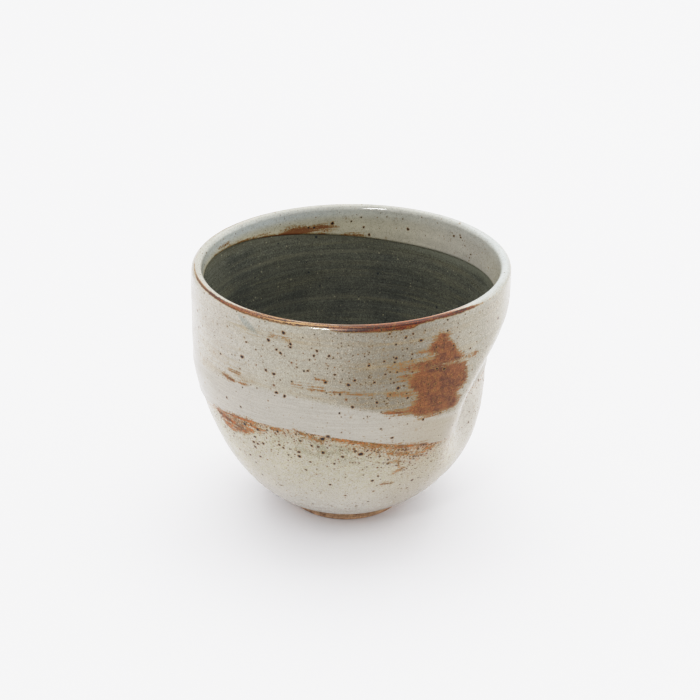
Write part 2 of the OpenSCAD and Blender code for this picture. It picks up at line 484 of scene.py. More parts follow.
IRON_INSIDE: tuple[Streak | Blot, ...] = tuple(Streak(*mark) for mark in (
    (106, 126, 53.2, 2.6, -0.2), (124, 136, 53.6, 1.1, 0.5), (96, 109, 53.7, 1.2, -0.1),
    (84, 93, 51.5, 0.4), (101.5, 104.5, 52.0, 0.5), (150, 158, 56.0, 0.2, 0.3),
    (122, 143, 54.1, 0.0, 1.0), (141, 163, 55.0, -0.1, 0.8), (-128, -112, 53.6, 1.0),
    (-60, -46, 52.2, 0.6),
))

# The iron that ran out from under the lap: how much, about 0 to 1, and how far down in mm.
FRINGE = Course((
    (-180, 0.35, 1.2), (-152, 0.5, 1.4), (-126, 0.85, 1.6), (-116, 0.6, 1.5), (-108, 0.55, 1.3),
    (-100, 0.75, 1.5), (-94, 0.6, 1.2), (-88, 1.0, 1.7), (-77, 1.1, 1.9), (-66, 1.15, 2.6),
    (-59, 0.95, 2.4), (-53, 0.35, 1.0), (-45, 0.2, 0.8), (10, 0.45, 1.2), (45, 0.9, 1.8), (80, 0.5, 1.2),
    (118, 0.85, 1.6), (150, 0.6, 1.4), (180, 0.35, 1.2),
))

# The worn line on the lip: its middle and half its width, in degrees on the lip's round from 0 outside
# to 180 inside. Where the half is below 0 there is no line.
RIM_LINE = Course((
    (-180, 72, -6), (-168, 66, 3), (-156, 62, 9), (-142, 60, 15), (-132, 58, 22), (-122, 66, 30),
    (-114, 68, 34), (-108, 60, 26), (-104, 70, 22), (-98.5, 68, 22), (-96.5, 52, 30), (-92, 50, 41),
    (-80, 48, 45), (-70, 47, 46), (-67, 62, 30), (-60, 66, 24), (-53, 56, 22), (-46, 46, 14),
    (-41, 36, 2), (-36, 30, -4), (-10, 40, -8), (12, 45, 6), (30, 50, -6), (70, 60, -4), (88, 62, 8),
    (104, 60, -3), (128, 66, 9), (150, 70, 5), (166, 76, -6), (180, 80, -6),
))

# The thin pink line inside it, told in the same way.
RIM_BLUSH = Course((
    (-180, 110, -8), (-150, 112, -4), (-132, 114, 9), (-112, 112, 12), (-96, 108, 14), (-78, 102, 16),
    (-62, 98, 15), (-50, 92, 9), (-40, 90, -4), (0, 104, -8), (110, 112, -5), (140, 114, 4),
    (180, 110, -8),
))

# The larger iron spots: angle in degrees, height and width in mm.
IRON_SPOTS: tuple[Triple, ...] = (
    (-129, 48.7, 0.75), (-118, 54.3, 0.65), (-115, 52.6, 0.5), (-113.5, 52.0, 0.55), (-119, 47.4, 0.55),
    (-116, 47.0, 0.6), (-115, 42.9, 0.6), (-112, 42.5, 0.6), (-137, 37.5, 0.5), (-98, 46.8, 0.55),
    (-90.5, 46.4, 0.65), (-88.5, 47.4, 0.55), (-95, 48.6, 0.45), (-89, 41.4, 0.6), (-99, 33.2, 0.95),
    (-97, 34.3, 0.65), (-85.5, 29.3, 0.95), (-87.5, 30.2, 0.55), (-92, 28.6, 0.6), (-75, 33.3, 0.55),
    (-64, 36.4, 0.5), (-81, 42.2, 0.55), (-66.5, 54.8, 0.65), (-75, 51.7, 0.6), (-74, 45.0, 0.65),
    (-57, 47.1, 0.6), (-60, 47.6, 0.5), (-97, 19.7, 0.5), (-80, 20.8, 0.6), (-78, 22.2, 0.45),
    (-108, 28.8, 0.65), (-108, 27.6, 0.7), (-99, 29.5, 0.75), (-126, 24.2, 0.6), (-130, 32.3, 0.8),
    (-124, 32.2, 0.7), (-115.5, 33.3, 0.6), (-107, 32.0, 0.5), (-108.5, 33.6, 0.45), (-101, 53.6, 0.5),
    (-102, 52.5, 0.5), (-97, 52.7, 0.5), (-110, 54.4, 0.6), (-110, 53.7, 0.5), (-112.5, 56.6, 0.7),
    (-126, 29.8, 0.55), (-127.3, 28.1, 0.6), (-127.2, 26.8, 0.6), (-125.4, 28, 0.55), (-122.7, 28.7, 0.6),
    (-132, 23.2, 0.5), (-115.5, 29.7, 0.5), (-114, 29.1, 0.5), (-103, 31.1, 0.55), (-121, 16, 0.45),
    (-95, 26.5, 0.45), (-104, 26.4, 0.45), (-72, 56.0, 0.5), (-69.5, 56.6, 0.45), (-84, 50.6, 0.5),
    (-127, 52.4, 0.4), (-140, 47.0, 0.4), (-104, 49.0, 0.45), (-82, 46.8, 0.45), (-79, 51.3, 0.45),
    (-78.5, 48.4, 0.4), (-74.5, 48.6, 0.4), (-75.5, 46.3, 0.4), (-72, 45.3, 0.4), (-70.5, 42.4, 0.5),
    (-69.5, 52.1, 0.4), (-77.5, 57.2, 0.4), (-53.5, 51.7, 0.45), (-45.5, 49.5, 0.4), (24, 40.0, 0.6),
    (41, 50.5, 0.5), (58, 37.0, 0.7), (66, 52.0, 0.6), (83, 30.0, 0.6), (97, 50.8, 0.7), (112, 37.5, 0.6),
    (121, 48.3, 0.5), (133, 31.5, 0.7), (141, 51.6, 0.6), (158, 38.2, 0.55), (171, 49.0, 0.6),
    (-168, 44.4, 0.5), (-158, 52.5, 0.5), (-161, 29.6, 0.55), (12, 50.2, 0.5), (5, 27.5, 0.5),
    (-28, 52.3, 0.5),
)

INNER_SPOTS: tuple[Triple, ...] = (
    (98, 54.6, 0.75), (84.5, 53.6, 0.45), (82, 51.8, 0.6), (65, 54.2, 0.6), (42, 55.5, 0.45),
    (-20, 54.0, 0.6), (38, 55.8, 0.4), (106, 53.9, 0.6), (108.5, 54.0, 0.5), (-70, 55.0, 0.6),
    (-130, 56.1, 0.5),
)

SMEAR = Streak(-130.5, -122.5, 56.4, 1.5, -2.4)

# Painted highlights on the liner, light lines in its colour along the throwing rings: height and reach in
# mm, and strength.
PAINTED_RING_HIGHLIGHTS: tuple[Triple, ...] = (
    (47.4, 0.3, 1.0), (44.6, 0.5, 0.35), (41.2, 0.35, 0.5), (38.6, 0.6, 0.3), (35.4, 0.4, 0.55),
    (31.8, 0.5, 0.4), (27.5, 0.5, 0.45), (22.4, 0.6, 0.4),
)

# Round this angle the dip line melts softly into the liner, both numbers in degrees.
SOFT_DIP = 38
SOFT_DIP_REACH = 26


@dataclass
class KilnMarks:
    """What the fire left on the pale coats, as smooth fields over the surface."""

    form: ThrownForm

    def fields(self, turn: Array, run: Array) -> Fields:
        """All the fields that the pale glaze's material reads.

        Args:
            turn: Angles round the cup in radians.
            run: Runs along the outline in mm.

        Returns:
            One array for each named field.
        """
        form = self.form
        height = form.height(run)
        outside = run < form.lip_mid
        under = height - form.lap_low.at(turn)
        over = form.lap_top.at(turn) - height
        short = form.run_inside(form.dip.at(turn)) - run
        crisp = 1 - 0.75 * facing(turn, SOFT_DIP, SOFT_DIP_REACH)
        band = np.where(outside, smooth(under, -0.12, 0.12) * smooth(over, -1.6, 1.3), 0)
        below = np.where(outside, smooth(under, 0.15, -0.15), 0)
        shoulder = outside * smooth(under, -0.1, 0.1)
        return {
            "band": band,
            "below": below,
            "collar": np.where(outside, 0, smooth(run - form.lip_mid, 0.8, 2.2)),
            "greyed": facing(turn, 30, 28),
            "ash": below * np.maximum(smooth(height, 24, 9), smooth(turn_from(turn, -45), 0, 0.35)),
            # Bluish thick coat inside the lip, and a painted highlight along the lip's crown.
            "bluish_coat_and_lip_highlight": self._bluish_coat_and_lip_highlight(turn, run),
            "lip": hump(run, form.lip_mid, 1.5),
            "brink": np.where(outside, 0, smooth(short, 1.3, 0.1) * crisp),
            "fade": np.where(outside, 0, smooth(short, 1.1, 0.0) * facing(turn, SOFT_DIP, 24)),
            "buff": outside * facing(turn, -58, 12) * smooth(over, -0.5, 1.5),
            "mossy": below * hump(under, -3.6, 2.6) * facing(turn, -97, 15),
            "smear": SMEAR.inside(turn, np.where(outside, height, 0), form.belly_r),
            "thick": np.clip(shoulder * self._thick(turn), 0, 1),
            "worn": np.clip(shoulder * (1 - band) * self._worn(turn, height), 0, 1),
            "streaky": np.clip(shoulder * self._streaky(turn, height, over), 0, 1),
            "fringe": np.clip(self._fringe(turn, under) * outside, 0, 1.3),
            "iron": self._iron(turn, height, outside),
            "rim": self._rim(RIM_LINE, turn, run),
            "rim_low": self._rim_low(turn, run),
            "rubbed": facing(turn, -109, 10),
            "across": self._on_lip(run) * math.radians(1) * form.lip_round,
            "blush": self._rim(RIM_BLUSH, turn, run),
            "speck": np.clip(self._speck(turn, height, under, band, outside), 0, 1),
        }

    def _bluish_coat_and_lip_highlight(self, turn: Array, run: Array) -> Array:
        """Where the coat lies thick and bluish just inside the lip, and where a painted highlight runs
        along the lip's crown, strongest on the right, from 0 to 1.

        Args:
            turn: Angles round the cup in radians.
            run: Runs along the outline in mm.

        Returns:
            The share.
        """
        form = self.form
        left = facing(turn, 135, 38)
        right = facing(turn, 0, 38)
        inner = hump(run, form.lip_in + 0.5, 0.9) * (0.2 + 0.8 * left)
        # The crown: a painted highlight, a pale colour along the lip's crown, strongest on the right.
        crown = hump(run, form.lip_mid + 0.2, 0.8) * (0.2 + 0.8 * right)
        return np.clip(inner + crown, 0, 1)

    def _thick(self, turn: Array) -> Array:
        """Where the upper coat is thickest and palest, from 0 to 1."""
        return smooth(np.abs(turn_from(turn, 175)), math.radians(82), math.radians(38))

    def _worn(self, turn: Array, height: Array) -> Array:
        """Where the upper coat is thin and lets the clay darken it, from 0 to 1.

        Args:
            turn: Angles round the cup in radians.
            height: Heights in mm.

        Returns:
            The share.
        """
        side = side_from(turn, -76)
        front = hump(side, 0, np.where(side < 0, 15, 20)) * (0.88 + 0.12 * hump(height, 46, 5))
        back = facing(turn, 104, 30) * hump(height, 45, 7)
        return front + 0.7 * back

    def _streaky(self, turn: Array, height: Array, over: Array) -> Array:
        """Where warm streaks run round in the upper coat, from 0 to 1.

        Args:
            turn: Angles round the cup in radians.
            height: Heights in mm.
            over: Heights below the lap's top, in mm.

        Returns:
            The share.
        """
        side = side_from(turn, -76)
        high = hump(height, 55.2, 1.0) * (0.15 + 0.85 * hump(side, -42, 12) + 0.5 * hump(side, 3, 8))
        middle = hump(height, 50.2, 0.5) * 0.75 * smooth(side, -30, -8) * smooth(side, 40, 20)
        low = hump(over, -0.9, 0.8) * (0.25 + 0.2 * hump(side, -15, 26))
        left = hump(side, -62, 12) * hump(height, 46, 4) * 0.45
        near = hump(side, -2, 10) * hump(height, 44, 5) * 0.5
        return 0.8 * (high + middle + low + left + near) + 0.1

    def _fringe(self, turn: Array, under: Array) -> Array:
        """How much iron ran out from under the lap, from 0 to about 1.

        Args:
            turn: Angles round the cup in radians.
            under: Heights above the lap's lower edge, in mm.

        Returns:
            The share.
        """
        strength, reach = FRINGE.at(turn)
        return strength * np.exp(-np.maximum(0, -under) / reach) * smooth(under, 0.12, -0.12)

    def _rim(self, line: Course, turn: Array, run: Array) -> Array:
        """How deep each place lies inside a worn line on the lip, in mm, less than 0 outside it."""
        middle, half = line.at(turn)
        return self._lip_mm(half - np.abs(self._on_lip(run) - middle))

    def _rim_low(self, turn: Array, run: Array) -> Array:
        """Distance in from the outer edge of the worn line on the lip, in mm."""
        middle, half = RIM_LINE.at(turn)
        return self._lip_mm(self._on_lip(run) - middle + half)

    def _lip_mm(self, arc: Array) -> Array:
        """Lengths in mm of arcs in degrees on the lip's glazed round."""
        return arc * math.radians(1) * (self.form.lip_round + self.form.coat_t)

    def _on_lip(self, run: Array) -> Array:
        """Places on the lip's round, from 0 outside to 180 inside."""
        return (run - self.form.lip_out) / (self.form.lip_in - self.form.lip_out) * 180

    def _iron(self, turn: Array, height: Array, outside: Array) -> Array:
        """How deep each place lies inside the bare iron, in mm.

        Args:
            turn: Angles round the cup in radians.
            height: Heights in mm.
            outside: Whether each place is outside the lip.

        Returns:
            The depths, less than 0 outside the iron.
        """
        radius = self.form.belly_r
        iron = np.full(turn.shape, -FAR_OFF)
        for marks, here in ((IRON_OUTSIDE, outside), (IRON_INSIDE, ~outside)):
            for mark in marks:
                depth = mark.inside(turn, height, radius)
                joined = np.minimum(iron, -depth) if mark.pale else np.maximum(iron, depth)
                iron = np.where(here, joined, iron)
        return iron

    def _speck(self, turn: Array, height: Array, under: Array, band: Array, outside: Array) -> Array:
        """How thickly the iron specks lie.

        Args:
            turn: Angles round the cup in radians.
            height: Heights in mm.
            under: Heights above the lap's lower edge, in mm.
            band: Where the two coats lap, from 0 to 1.
            outside: Whether each place is outside the lip.

        Returns:
            The density, from 0 to 1.
        """
        side = side_from(turn, -84)
        shoulder = 0.16 + 0.4 * hump(side, 8, 20) + 0.3 * hump(side, 6, 7) * hump(height, 45, 3)
        shoulder = shoulder * (1 - 0.8 * band)
        near_lap = hump(under, -2.5, 3.0) * (0.55 + 0.45 * hump(side, 5, 40))
        flank = smooth(under, 0.2, -0.4) * (0.16 + 0.84 * near_lap)
        clean = 1 - 0.85 * facing(turn, -18, 17)
        return np.where(outside, np.where(under > 0, shoulder, flank) * clean, 0.1)


def put_field(mesh: bpy.types.Mesh, label: str, values: Array) -> None:
    """Puts a named field on a mesh, one number for each point."""
    layer = mesh.attributes.new(label, "FLOAT", "POINT")
    layer.data.foreach_set("value", values.astype(np.float32))


def add_object(name: str, data: bpy.types.ID) -> bpy.types.Object:
    """Makes an object and links it to the scene.

    Args:
        name: Its name.
        data: Its mesh, light or lens.

    Returns:
        The object.
    """
    thing = bpy.data.objects.new(name, data)
    bpy.context.scene.collection.objects.link(thing)
    return thing


def ring_mesh(name: str, rings: Array, fields: Fields, poles: bool = False) -> bpy.types.Object:
    """Makes a smooth closed mesh from rings of points.

    Args:
        name: The piece's name.
        rings: Points in mm, as rings by columns by coordinates. The rings go round the piece's section.
        fields: An array for each named field, as rings by columns.
        poles: Whether the first and last rings shrink to a point, and aren't joined to each other.

    Returns:
        The new object, linked to the scene, in metres.
    """
    count, columns, _ = rings.shape
    index = np.arange(count * columns).reshape(count, columns)
    ahead = np.roll(index, -1, axis=1)
    above = np.roll(index, -1, axis=0)
    above_ahead = np.roll(ahead, -1, axis=0)
    quads = np.stack([index, ahead, above_ahead, above], -1)
    points = rings.reshape(-1, 3)
    faces = quads[:-1].reshape(-1, 4).tolist() if poles else quads.reshape(-1, 4).tolist()
    if poles:
        low, high = len(points), len(points) + 1
        points = np.concatenate([points, rings[:1].mean(1), rings[-1:].mean(1)])
        faces += [[low, int(b), int(a)] for a, b in zip(index[0], ahead[0])]
        faces += [[high, int(a), int(b)] for a, b in zip(index[-1], ahead[-1])]
    mesh = bpy.data.meshes.new(name)
    mesh.from_pydata((points * MM).tolist(), [], faces)
    for label, values in fields.items():
        flat = values.reshape(-1)
        if poles:
            flat = np.concatenate([flat, [values[0].mean(), values[-1].mean()]])
        put_field(mesh, label, flat)
    mesh.shade_smooth()
    mesh.update()
    return add_object(name, mesh)


def declare(piece: bpy.types.Object, slot: Slot, *nodes: str) -> None:
    """Tells the frame what a piece rides on and stands for: hangs it on the root body and hides those CAD
    nodes.

    Args:
        piece: The piece.
        slot: The record's material slot; not used.
        nodes: The CAD nodes that it stands for.
    """
    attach(piece, "root")
    if nodes:
        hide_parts(*nodes)
    LOG.info("%s: %d points", piece.name, len(piece.data.vertices))


def turns(columns: int) -> Array:
    """Evenly spaced turns round the cup, in radians."""
    return np.linspace(-math.pi, math.pi, columns, endpoint=False)


def between(low: Array, high: Array, count: int) -> Array:
    """Rows of runs that lead up from low to high at each column, without the last."""
    share = np.arange(count)[:, None] / count
    return low + (high - low) * share


EDGE_STEPS = np.array([0, 0.02, 0.05, 0.09, 0.14, 0.2, 0.28, 0.38, 0.5])[:, None]


@dataclass
class GlazeCoats:
    """Thickness of the coats over the whole outline."""

    form: ThrownForm
    roll: float = 0.06
    roll_reach: float = 0.35
    edge_round: float = 0.38
    buried_end: float = 2.6
    liner_end: float = 4.5
    buried: float = 0.02
    liner_gap: float = 1.5

    def __post_init__(self) -> None:
        """Works out where the lower coat starts over the foot, and the liner inside the lip."""
        form = self.form
        runs, radii, _ = form.outline
        belly = slice(form.outline_steps)
        self.foot_line = float(np.interp(form.foot_r + form.foot_bare, radii[belly], runs[belly]))
        self.liner_start = form.lip_in + self.liner_gap

    def foot_edge(self, turn: Array) -> Array:
        """Runs of the lower coat's edge over the foot."""
        return self.foot_line + Wave(2, 0.12, 40).at(turn) + Wave(5, 0.07, 10).at(turn)

    def lap_low(self, turn: Array) -> Array:
        """Runs of the lap's lower edge."""
        return self.form.run_outside(self.form.lap_low.at(turn))

    def lap_top(self, turn: Array) -> Array:
        """Runs of the end of the lower coat, under the upper one."""
        return self.form.run_outside(self.form.lap_top.at(turn))

    def dip_edge(self, turn: Array) -> Array:
        """Runs of the upper coat's inner edge."""
        return self.form.run_inside(self.form.dip.at(turn))

    def rounded(self, inward: Array) -> Array:
        """Share of a coat's thickness near its melted edge, which is round and slightly rolled.

        Args:
            inward: Distance in from the edge, in mm.

        Returns:
            The share, 0 at the edge and beyond it.
        """
        t = np.clip(inward / self.edge_round, 0, 1)
        body = np.sqrt(1 - (1 - t) ** 2)
        rolled = self.roll / self.form.coat_t * hump(inward, self.edge_round, self.roll_reach)
        return body + rolled * t

    def lower(self, turn: Array, run: Array) -> Array:
        """Thickness of the lower coat in mm."""
        end = smooth(self.lap_top(turn) - run, 0, self.buried_end)
        return self.form.coat_t * self.rounded(run - self.foot_edge(turn)) * end

    def upper(self, turn: Array, run: Array) -> Array:
        """Thickness of the upper coat in mm."""
        form = self.form
        shape = self.rounded(run - self.lap_low(turn)) * self.rounded(self.dip_edge(turn) - run)
        on_lip = smooth(np.abs(run - form.lip_mid), 3.5, 1.2)
        return form.coat_t * shape * (1 - (1 - form.lip_coat_share) * on_lip)

    def liner(self, turn: Array, run: Array) -> Array:
        """Thickness of the dark liner in mm."""
        return self.form.coat_t * smooth(run, self.liner_start, self.liner_start + self.liner_end)

    def top(self, turn: Array, run: Array) -> Array:
        """Thickness of all the coats together in mm."""
        return self.lower(turn, run) + self.upper(turn, run) + self.liner(turn, run)


@dataclass
class ClayBody:
    """The thrown wall and floor, and the turned foot that it stands on."""

    form: ThrownForm
    columns: int = 240
    rows: int = 190
    recess_rows: int = 40
    boss: float = 0.5
    recess_swirl: float = 0.07
    foot_w: float = 3.2
    recess_draft: float = 0.8
    foot_bevel: float = 0.4
    foot_turning: float = 0.05
    foot_wear: float = 0.05
    foot_waist: float = 0.12
    foot_flare: float = 0.1
    foot_overlap: float = 0.05
    foot_step: float = 0.16

    def wall(self) -> bpy.types.Object:
        """Makes the wall and floor, closed by the turned underside within the foot.

        Returns:
            The piece.
        """
        form = self.form
        turn = turns(self.columns)
        rows = between(np.zeros(self.columns), np.full(self.columns, form.length), self.rows)
        turn_grid = np.broadcast_to(turn, rows.shape)
        wall = form.place(turn_grid, rows, 0.0)
        share = np.linspace(0.02, 1, self.recess_rows, endpoint=False)[:, None]
        radius = form.foot_r * share
        swirl = self.recess_swirl * np.sin(radius * 4.2 + turn) * smooth(radius, 9.8, 8.5)
        height = form.foot_h - self.boss * hump(radius, 0, 2.2) + swirl
        under = np.stack([radius * np.cos(turn), radius * np.sin(turn), height + 0 * turn], -1)
        piece = ring_mesh("thrown_wall", np.concatenate([under, wall]), {}, poles=True)
        declare(piece, Slot.CLAY, "clay_bowl")
        return piece

    def foot(self) -> bpy.types.Object:
        """Makes the turned foot ring, with its softened edges and turning lines.

        Returns:
            The piece.
        """
        form = self.form
        rest_in = form.foot_r - self.foot_w
        top_in = rest_in - self.recess_draft
        bevel = self.foot_bevel
        top, eased = form.foot_h + self.foot_overlap, 0.3 * bevel
        bends = (
            (rest_in + bevel, 0), (form.foot_r - bevel, 0), (form.foot_r - eased, eased),
            (form.foot_r, bevel), (form.foot_r - self.foot_waist, form.foot_h / 2), (form.foot_r, top),
            (top_in, top), (rest_in - self.foot_flare, bevel), (rest_in + eased, eased),
        )
        section = []
        for (ar, az), (br, bz) in zip(bends, bends[1:] + bends[:1]):
            count = max(2, round(math.hypot(br - ar, bz - az) / self.foot_step))
            section += [(ar + (br - ar) * k / count, az + (bz - az) * k / count) for k in range(count)]
        turn = turns(self.columns)
        radius = np.array([r for r, _ in section])[:, None] + 0 * turn
        height = np.array([z for _, z in section])[:, None] + 0 * turn
        side = smooth(height, 0.1, 0.6) * smooth(form.foot_h - height, -0.1, 0.4)
        x, y = radius * np.cos(turn), radius * np.sin(turn)
        lines = uneven(x, y, height, (40, 40, 0.22), 31) + 0.6 * uneven(x, y, height, (1.6, 1.6, 0.8), 32)
        radius = radius - self.foot_turning * np.abs(lines) * side
        worn = np.clip(uneven(x, y, height, (2.5, 2.5, 2.5), 33), 0, 1)
        wear = self.foot_wear * worn * smooth(height, 0.7, 0.1)
        points = np.stack([radius * np.cos(turn), radius * np.sin(turn), height + wear * (height > 0)], -1)
        piece = ring_mesh("turned_foot", points, {})
        declare(piece, Slot.CLAY, "foot_ring")
        return piece


@dataclass
class PaleCoats:
    """The two pale coats: the lower one up from the foot, the upper one down from the lip."""

    form: ThrownForm
    coats: GlazeCoats
    marks: KilnMarks
    columns: int = 480
    lower_rows: int = 130
    lap_rows: int = 78
    lip_rows: int = 22
    collar_rows: int = 22
    back_rows: int = 14

    def _skin(self, name: str, rows: Array, top: Thickness, under: Thickness) -> bpy.types.Object:
        """Makes a closed coat from the rows of its outer face.

        Args:
            name: The piece's name.
            rows: Runs of the outer face, as rows by columns.
            top: Gives the outer face's distance off the clay.
            under: Gives the hidden face's distance off the clay.

        Returns:
            The piece.
        """
        turn = np.broadcast_to(turns(self.columns), rows.shape)
        picks = np.linspace(len(rows) - 1, 0, self.back_rows + 2).round().astype(int)[1:-1]
        back_runs, back_turn = rows[picks], turn[picks]
        outer = self.form.place(turn, rows, top(turn, rows))
        back = self.form.place(back_turn, back_runs, under(back_turn, back_runs))
        fields = self.marks.fields(turn, rows)
        full = {key: np.concatenate([value, value[picks]]) for key, value in fields.items()}
        return ring_mesh(name, np.concatenate([outer, back]), full)

    def lower(self) -> bpy.types.Object:
        """Makes the lower coat, from its rolled edge over the foot to its buried end under the lap.

        Returns:
            The piece.
        """
        turn = turns(self.columns)
        low = self.coats.foot_edge(turn) + EDGE_STEPS
        rows = np.concatenate([low[:-1], between(low[-1], self.coats.lap_top(turn), self.lower_rows)])
        buried = self.coats.buried
        piece = self._skin("lower_coat", rows, self.coats.lower, lambda turn, run: -buried + 0 * run)
        declare(piece, Slot.PALE, "lower_glaze")
        return piece

    def upper(self) -> bpy.types.Object:
        """Makes the upper coat, from the lap's crisp edge up over the lip and down to the dip line.

        Returns:
            The piece.
        """
        turn = turns(self.columns)
        coats, form = self.coats, self.form
        low = coats.lap_low(turn) + EDGE_STEPS
        high = (coats.dip_edge(turn) - EDGE_STEPS)[::-1]
        lip_out = np.full(self.columns, form.lip_out - 0.4)
        lip_in = np.full(self.columns, form.lip_in + 0.4)
        rows = np.concatenate([
            low[:-1],
            between(low[-1], lip_out, self.lap_rows),
            between(lip_out, lip_in, self.lip_rows),
            between(lip_in, high[0], self.collar_rows),
            high,
        ])

        def under(turn: Array, run: Array) -> Array:
            """Distance of the hidden face off the clay."""
            return coats.lower(turn, run) + coats.liner(turn, run) - coats.buried

        piece = self._skin("upper_coat", rows, coats.top, under)
        declare(piece, Slot.PALE, "upper_glaze")
        return piece


@dataclass
class DarkLiner:
    """The dark coat inside, from under the upper coat's edge to the middle of the floor."""

    form: ThrownForm
    coats: GlazeCoats
    columns: int = 480
    rows: int = 150
    back_rows: int = 20

    def build(self) -> bpy.types.Object:
        """Makes the liner.

        Returns:
            The piece.
        """
        form, coats = self.form, self.coats
        start = np.full(self.columns, coats.liner_start)
        face = between(start, np.full(self.columns, form.length), self.rows)
        picks = np.linspace(self.rows - 1, 0, self.back_rows).round().astype(int)[:-1]
        turn = np.broadcast_to(turns(self.columns), face.shape)
        top = form.place(turn, face, coats.liner(turn, face))
        back = form.place(turn[picks], face[picks], -coats.buried)
        runs = np.concatenate([face[picks], face])
        turn = np.concatenate([turn[picks], turn])
        near_dip = smooth(runs - coats.dip_edge(turn), 3.0, 0.0)
        heights = form.height(runs)
        fields = {
            "pool": smooth(runs, form.length - 9, form.length - 3),
            "under_dip": near_dip,
            "veil": near_dip * facing(turn, SOFT_DIP, SOFT_DIP_REACH),
            # Where the painted highlights of the throwing rings lie.
            "ring": sum(share * hump(heights, middle, reach) for middle, reach, share in PAINTED_RING_HIGHLIGHTS),
        }
        piece = ring_mesh("dark_liner", np.concatenate([back, top]), fields, poles=True)
        declare(piece, Slot.DARK, "inner_glaze")
        return piece


@dataclass
class IronSpots:
    """The larger iron spots, small domes that melted up through the pale coats."""

    form: ThrownForm
    coats: GlazeCoats
    marks: KilnMarks
    sides: int = 16
    dome: float = 0.025
    lift: float = 0.004
    sunk: float = 0.03
    halo: float = 2.0
    seed: int = 7
    shares: tuple[float, ...] = (0.0, 0.22, 0.42, 0.6, 0.8, 1.0)
    longest: float = 0.25
    two_lobed: float = 0.12
    three_lobed: float = 0.08

    def build(self) -> bpy.types.Object:
        """Makes all the spots as one piece of separate closed domes.

        Returns:
            The piece.
        """
        draw = np.random.default_rng(self.seed)
        groups = [(spot, True) for spot in IRON_SPOTS] + [(spot, False) for spot in INNER_SPOTS]
        rings = len(self.shares) - 1
        angles = np.arange(self.sides) / self.sides * 2 * math.pi
        points, faces, sharp = [], [], []
        values: dict[str, list[Array]] = {}
        for (angle, height, width), outside in groups:
            run = float(self.form.run_outside(height) if outside else self.form.run_inside(height))
            reach = self.form.radius(np.array(run))
            long = 1 + self.longest * draw.random()
            lobes = 1 + self.two_lobed * np.cos(2 * angles + draw.uniform(0, 6))
            lobes = lobes + self.three_lobed * np.cos(3 * angles + draw.uniform(0, 6))
            share = np.concatenate([self.shares[:1], np.repeat(self.shares[1:] + (1.0,), self.sides), [0]])
            around = np.concatenate([[0], np.tile(angles, rings + 1), [0]])
            bulge = np.concatenate([[1], np.tile(lobes, rings + 1), [1]])
            size = width / 2 * self.halo * share * bulge
            turn = math.radians(angle) + size * long * np.cos(around) / reach
            runs = run + size * np.sin(around)
            off = self.coats.top(turn, runs) + self.lift + self.dome * (1 - share ** 2) ** 2
            off[-self.sides - 1:] = self.coats.top(turn, runs)[-self.sides - 1:] - self.sunk
            base = sum(len(p) for p in points)
            points.append(self.form.place(turn, runs, off))
            for key, value in {**self.marks.fields(turn, runs), "spot": 1 - share}.items():
                values.setdefault(key, []).append(value)
            faces += self._dome_faces(base, rings)
            rim = base + 1 + (rings - 1) * self.sides
            sharp += [{rim + k, rim + (k + 1) % self.sides} for k in range(self.sides)]
        mesh = bpy.data.meshes.new("iron_spots")
        mesh.from_pydata((np.concatenate(points) * MM).tolist(), [], faces)
        for key, parts in values.items():
            put_field(mesh, key, np.concatenate(parts))
        mesh.shade_smooth()
        edges = {frozenset(pair) for pair in sharp}
        for edge in mesh.edges:
            edge.use_edge_sharp = frozenset(edge.vertices) in edges
        piece = add_object("iron_spots", mesh)
        declare(piece, Slot.PALE)
        return piece

    def _dome_faces(self, base: int, rings: int) -> list[list[int]]:
        """Faces of one dome: a fan at the top, strips, and a sunk fan below.

        Args:
            base: Number of the dome's first point.
            rings: Number of its visible rings.

        Returns:
            The faces.
        """
        faces = []
        bottom = base + 1 + (rings + 1) * self.sides
        for k in range(self.sides):
            after = (k + 1) % self.sides
            faces.append([base, base + 1 + k, base + 1 + after])
            for ring in range(rings):
                low = base + 1 + ring * self.sides
                high = low + self.sides
                faces.append([low + k, high + k, high + after, low + after])
            last = bottom - self.sides
            faces.append([bottom, last + after, last + k])
        return faces


def shade(red: int, green: int, blue: int) -> Colour:
    """A screen colour as the linear colour that a shader takes.

    Args:
        red: Red from 0 to 255.
        green: Green from 0 to 255.
        blue: Blue from 0 to 255.

    Returns:
        The linear colour, with full alpha.
    """
    def linear(value: int) -> float:
        """One channel, linear."""
        v = value / 255
        return v / 12.92 if v <= 0.04045 else ((v + 0.055) / 1.055) ** 2.4

    return linear(red), linear(green), linear(blue), 1.0


